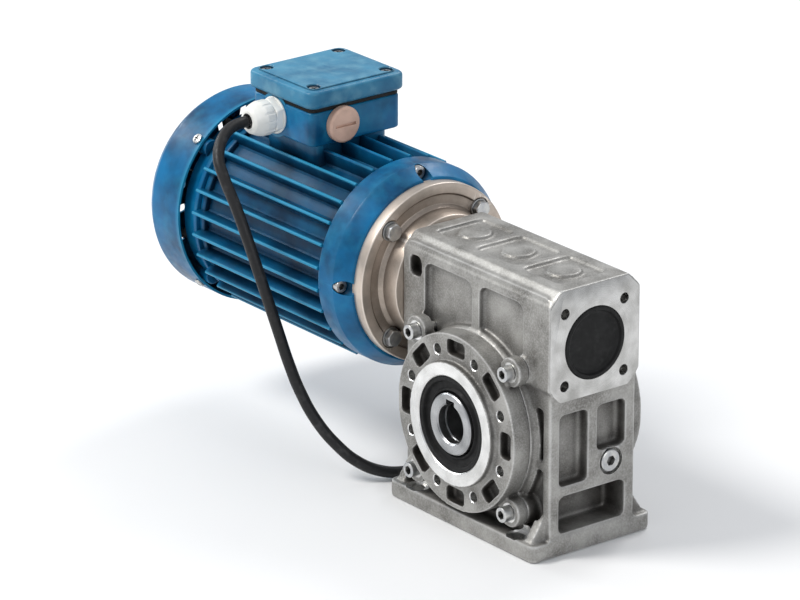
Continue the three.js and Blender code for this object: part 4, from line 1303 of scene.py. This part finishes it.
def cowl_screw(turn):
    """Cross-head screw through the cowl's rim, pointing at the motor's axis."""
    place = COWL_X[1] - 5
    profile = [
        (0, COWL_R - 3),
        (2, COWL_R - 3),
        (2, COWL_R),
        (3.6, COWL_R),
        (3.4, COWL_R + 1.4),
        (0, COWL_R + 2.1),
    ]
    head = turned_pin("z", profile, 0.4, (place, 0, 0), 32)
    cut(head, *cross_slot(place, 0, (COWL_R + 0.8, COWL_R + 4), 2, 0.45))
    spin = Matrix.Rotation(turn - math.pi / 2, 4, "X")
    return placed(head, Matrix.Translation((0, 0, WORM_Z * MM)) @ spin)


def add_cowl():
    """Sheet-steel cowl with a dished, slotted back, and its four screws."""
    back, front = COWL_X
    floor = back + SHEET
    outer = [
        (0, back),
        (14, back),
        (15.5, back + 0.9),
        (56, back + 0.9),
        (57.5, back),
        (60, back),
        (66, back + 2.5),
        (COWL_R, back + 9),
        (COWL_R, front - 4),
        (COWL_R, front),
    ]
    inner = [
        (COWL_R - SHEET, front),
        (COWL_R - SHEET, back + 9.5),
        (65, back + 3.9),
        (59.5, floor),
        (58, floor),
        (56.3, floor + 0.9),
        (15, floor + 0.9),
        (13.6, floor),
        (0, floor),
    ]
    cowl = turned("x", rounded(outer, 4) + rounded(inner, 3), WORM, 144)
    slots = [slot_tool(19, 34, turn) for turn in circle(9)]
    slots += [slot_tool(39, 54, turn) for turn in circle(16, math.pi / 16)]
    cut(cowl, *slots)
    piece(cowl, "fan_cowl", FIXED, "blue_paint", ["motor_fan_cowl"], 32)
    for i, turn in enumerate(DIAGONALS, 1):
        piece(cowl_screw(turn), f"cowl_screw_{i}", FIXED, "zinc_steel")


add_flange()
for index in range(len(FLANGE_BOLTS)):
    add_hexagon_bolt(index)
add_front_shield()
add_stator_frame()
add_rear_shield()
add_cowl()

# ---- terminal box -------------------------------------------------------------------------

BOX_X = span("terminal_box", X)
BOX_Y = span("terminal_box", Y)
BOX_Z = span("terminal_box", Z)
LID_X = span("terminal_box_lid", X)
LID_Y = span("terminal_box_lid", Y)
LID_Z = span("terminal_box_lid", Z)
GLAND_X, ENTRY_Z, PLUG_Y = -205, 216, -13
GLAND = (GLAND_X, 0, ENTRY_Z)
PLUG = (0, PLUG_Y, ENTRY_Z)


def middle(node, axis):
    return sum(span(node, axis)) / 2


LID_SPOTS = [(middle(f"lid_screw_{i}", X), middle(f"lid_screw_{i}", Y)) for i in range(1, 5)]


def inset_plate(x, y, inset, low, high, corner):
    x, y = ((a + inset, b - inset) for a, b in (x, y))
    return plate(x, y, low, high, corner, steps=8)


def box_hollow(low, high):
    """The room inside the box's walls."""
    return inset_plate(BOX_X, BOX_Y, 3, low, high, 4)


def add_box():
    """Open box with screw posts, a pad under the gland, and holes for gland, plug and wires."""
    low, high = BOX_Z
    wall = BOX_Y[0]
    shell = bevelled(inset_plate(BOX_X, BOX_Y, 0, low, high, 6), 1.4, 4)
    cut(shell, box_hollow(low + 3, high + 2))
    posts = [rod("z", 4.5, low + 1, high - 0.2, (x, y, 0), 32) for x, y in LID_SPOTS]
    join(shell, *posts, rod("y", 14.5, wall, wall + 4, GLAND, 64))
    tools = [rod("z", 2.2, high - 12, high + 2, (x, y, 0), 20) for x, y in LID_SPOTS]
    tools.append(rod("y", 10, wall - 2, wall + 5, GLAND))
    tools.append(rod("x", 10, BOX_X[1] - 5, BOX_X[1] + 2, PLUG))
    tools.append(plate(*WIRE_HOLE, low - 2, low + 5, 4))
    cut(shell, *tools)
    piece(shell, "connection_box", FIXED, "blue_paint", ["terminal_box"], 32)


def add_gasket():
    low, high = span("terminal_box_gasket", Z)
    gasket = inset_plate(BOX_X, BOX_Y, 0.4, low - 0.2, high + 0.2, 5.6)
    cut(gasket, box_hollow(low - 2, high + 2))
    gasket = bevelled(gasket, 0.5, 3)
    piece(gasket, "box_gasket", FIXED, "black_rubber", ["terminal_box_gasket"])


def lid_screw_hole(x, y, face):
    """Counterbore for a screw head, with a chamfered mouth."""
    floor = face - 4.5
    profile = [(0, floor), (4.4, floor), (4.4, face - 0.6), (5.2, face + 0.3), (5.2, face + 3)]
    return turned("z", profile + [(0, face + 3)], (x, y, 0), 40)


def add_lid():
    """Lid with a raised panel, hollow below, and its four sunk screws."""
    low, high = LID_Z
    skirt = bevelled(inset_plate(LID_X, LID_Y, 0, low, high - 1.2, 8), 2.6, 6)
    panel = bevelled(inset_plate(LID_X, LID_Y, 4.5, high - 5, high, 6), 1.0, 4)
    join(skirt, panel)
    posts = [rod("z", 5, low - 4, high, (x, y, 0), 32) for x, y in LID_SPOTS]
    tools = [cut(box_hollow(low - 2, high - 3), *posts)]
    for x, y in LID_SPOTS:
        tools.append(rod("z", 2.4, low - 3, high + 3, (x, y, 0), 24))
        tools.append(lid_screw_hole(x, y, high))
    cut(skirt, *tools)
    piece(skirt, "box_lid", FIXED, "lid_paint", ["terminal_box_lid"], 32)
    seat = high - 4.4
    for i, (x, y) in enumerate(LID_SPOTS, 1):
        tip, top = span(f"lid_screw_{i}", Z)
        profile = [(0, tip), (2, tip), (2, seat), (3.9, seat), (3.9, top - 0.6), (3.2, top)]
        screw = turned_pin("z", profile + [(0, top)], 0.35, (x, y, 0), 40)
        cut(screw, *cross_slot(x, y, (top - 1.8, top + 2), 2.3, 0.5))
        piece(screw, f"box_screw_{i}", FIXED, "zinc_steel", [f"lid_screw_{i}"])


def add_gland():
    """Hexagon body, domed compression nut with grip ribs, and the black seal inside it."""
    wall = BOX_Y[0]
    nut_end = span("cable_gland_nut", Y)[0]
    body_end, inner_end = span("cable_gland_body", Y)
    body = bevelled(prism("y", hexagon(21.5), body_end, wall - 0.2, GLAND), 0.7, 3)
    collar = soft_disc("y", 12.2, wall - 1.4, wall - 0.1, 0.4, GLAND, 64)
    thread = soft_disc("y", 9.4, wall - 1, inner_end, 0.6, GLAND)
    join(body, collar, thread)
    cut(body, rod("y", 5, body_end - 3, inner_end + 3, GLAND, 32))
    piece(body, "gland_body", FIXED, "pale_plastic", ["cable_gland_body"])
    nut_seat = body_end - 0.2
    dome = [
        (0, nut_end),
        (6.6, nut_end),
        (8.6, nut_end + 1.6),
        (10.6, nut_end + 6),
        (11.5, nut_end + 9),
        (11.6, nut_seat),
        (0, nut_seat),
    ]
    nut = turned_pin("y", dome, 1.2, GLAND, 96)
    tools = [
        rod("y", 5.2, nut_end - 2, nut_end + 4, GLAND, 40),
        rod("y", 4, nut_end - 3, nut_seat + 3, GLAND, 32),
    ]
    for turn in circle(12):
        x, z = GLAND_X + 12.5 * math.sin(turn), ENTRY_Z + 12.5 * math.cos(turn)
        tools.append(rod("y", 1.5, nut_end + 6.5, nut_seat + 2, (x, 0, z), 20))
    cut(nut, *tools)
    piece(nut, "gland_nut", FIXED, "pale_plastic", ["cable_gland_nut"])
    section = rectangle((4, 5.1), (nut_end - 0.1, nut_end + 3.6))
    piece(turned_ring("y", section, 0.3, GLAND, 48), "gland_seal", FIXED, "black_rubber")


def add_plug():
    """Round blanking plug with a screwdriver slot."""
    low, high = span("blanking_plug", X)
    seat = BOX_X[1] + 0.1
    profile = [(0, low), (9.3, low), (9.3, seat), (11.9, seat), (11.9, high - 1.2), (10.6, high)]
    plug = turned_pin("x", profile + [(0, high)], 0.7, PLUG, 72)
    slot = ((high - 1.6, high + 3), (PLUG_Y - 8, PLUG_Y + 8), (ENTRY_Z - 1, ENTRY_Z + 1))
    piece(cut(plug, block(*slot)), "entry_plug", FIXED, "brass", ["blanking_plug"])


add_box()
add_gasket()
add_lid()
add_gland()
add_plug()

# ---- stage --------------------------------------------------------------------------------


def add_floor():
    floor = prism("z", rectangle((-6000, 6000), (-6000, 6000)), -12, -0.6, name="floor")
    finish = Finish("floor")
    cloud = finish.cloud(900, 2, 0.3, 0.7)
    finish.colour(finish.mix(cloud, (0.80,) * 3, (0.83,) * 3))
    finish.roughness(finish.cloud(200, 2, 0.3, 0.7, 0.45, 0.6))
    floor.data.materials.append(finish.material)


def add_light(name, place, size, power, colour=(1, 1, 1)):
    data = bpy.data.lights.new(name, "AREA")
    data.shape = "DISK"
    data.size = size
    data.energy = power
    data.color = colour
    look(bpy.data.objects.new(name, data), AIM + Vector(place), AIM)


def add_world():
    world = bpy.data.worlds.new("studio")
    world.use_nodes = True
    background = world.node_tree.nodes["Background"]
    background.inputs["Color"].default_value = (0.92, 0.95, 1.0, 1.0)
    background.inputs["Strength"].default_value = 0.55
    bpy.context.scene.world = world


add_floor()
add_light("key", (-0.9, -1.6, 2.3), 1.0, 62, (1.0, 0.985, 0.96))
add_light("fill", (2.4, -0.3, 1.2), 1.4, 14, (0.95, 0.97, 1.0))
add_light("back", (-0.6, 1.9, 2.0), 1.2, 26)
add_light("rim", (-2.3, -0.5, 1.1), 0.5, 16, (0.92, 0.97, 1.0))
add_world()
bpy.context.scene.view_settings.view_transform = "Standard"
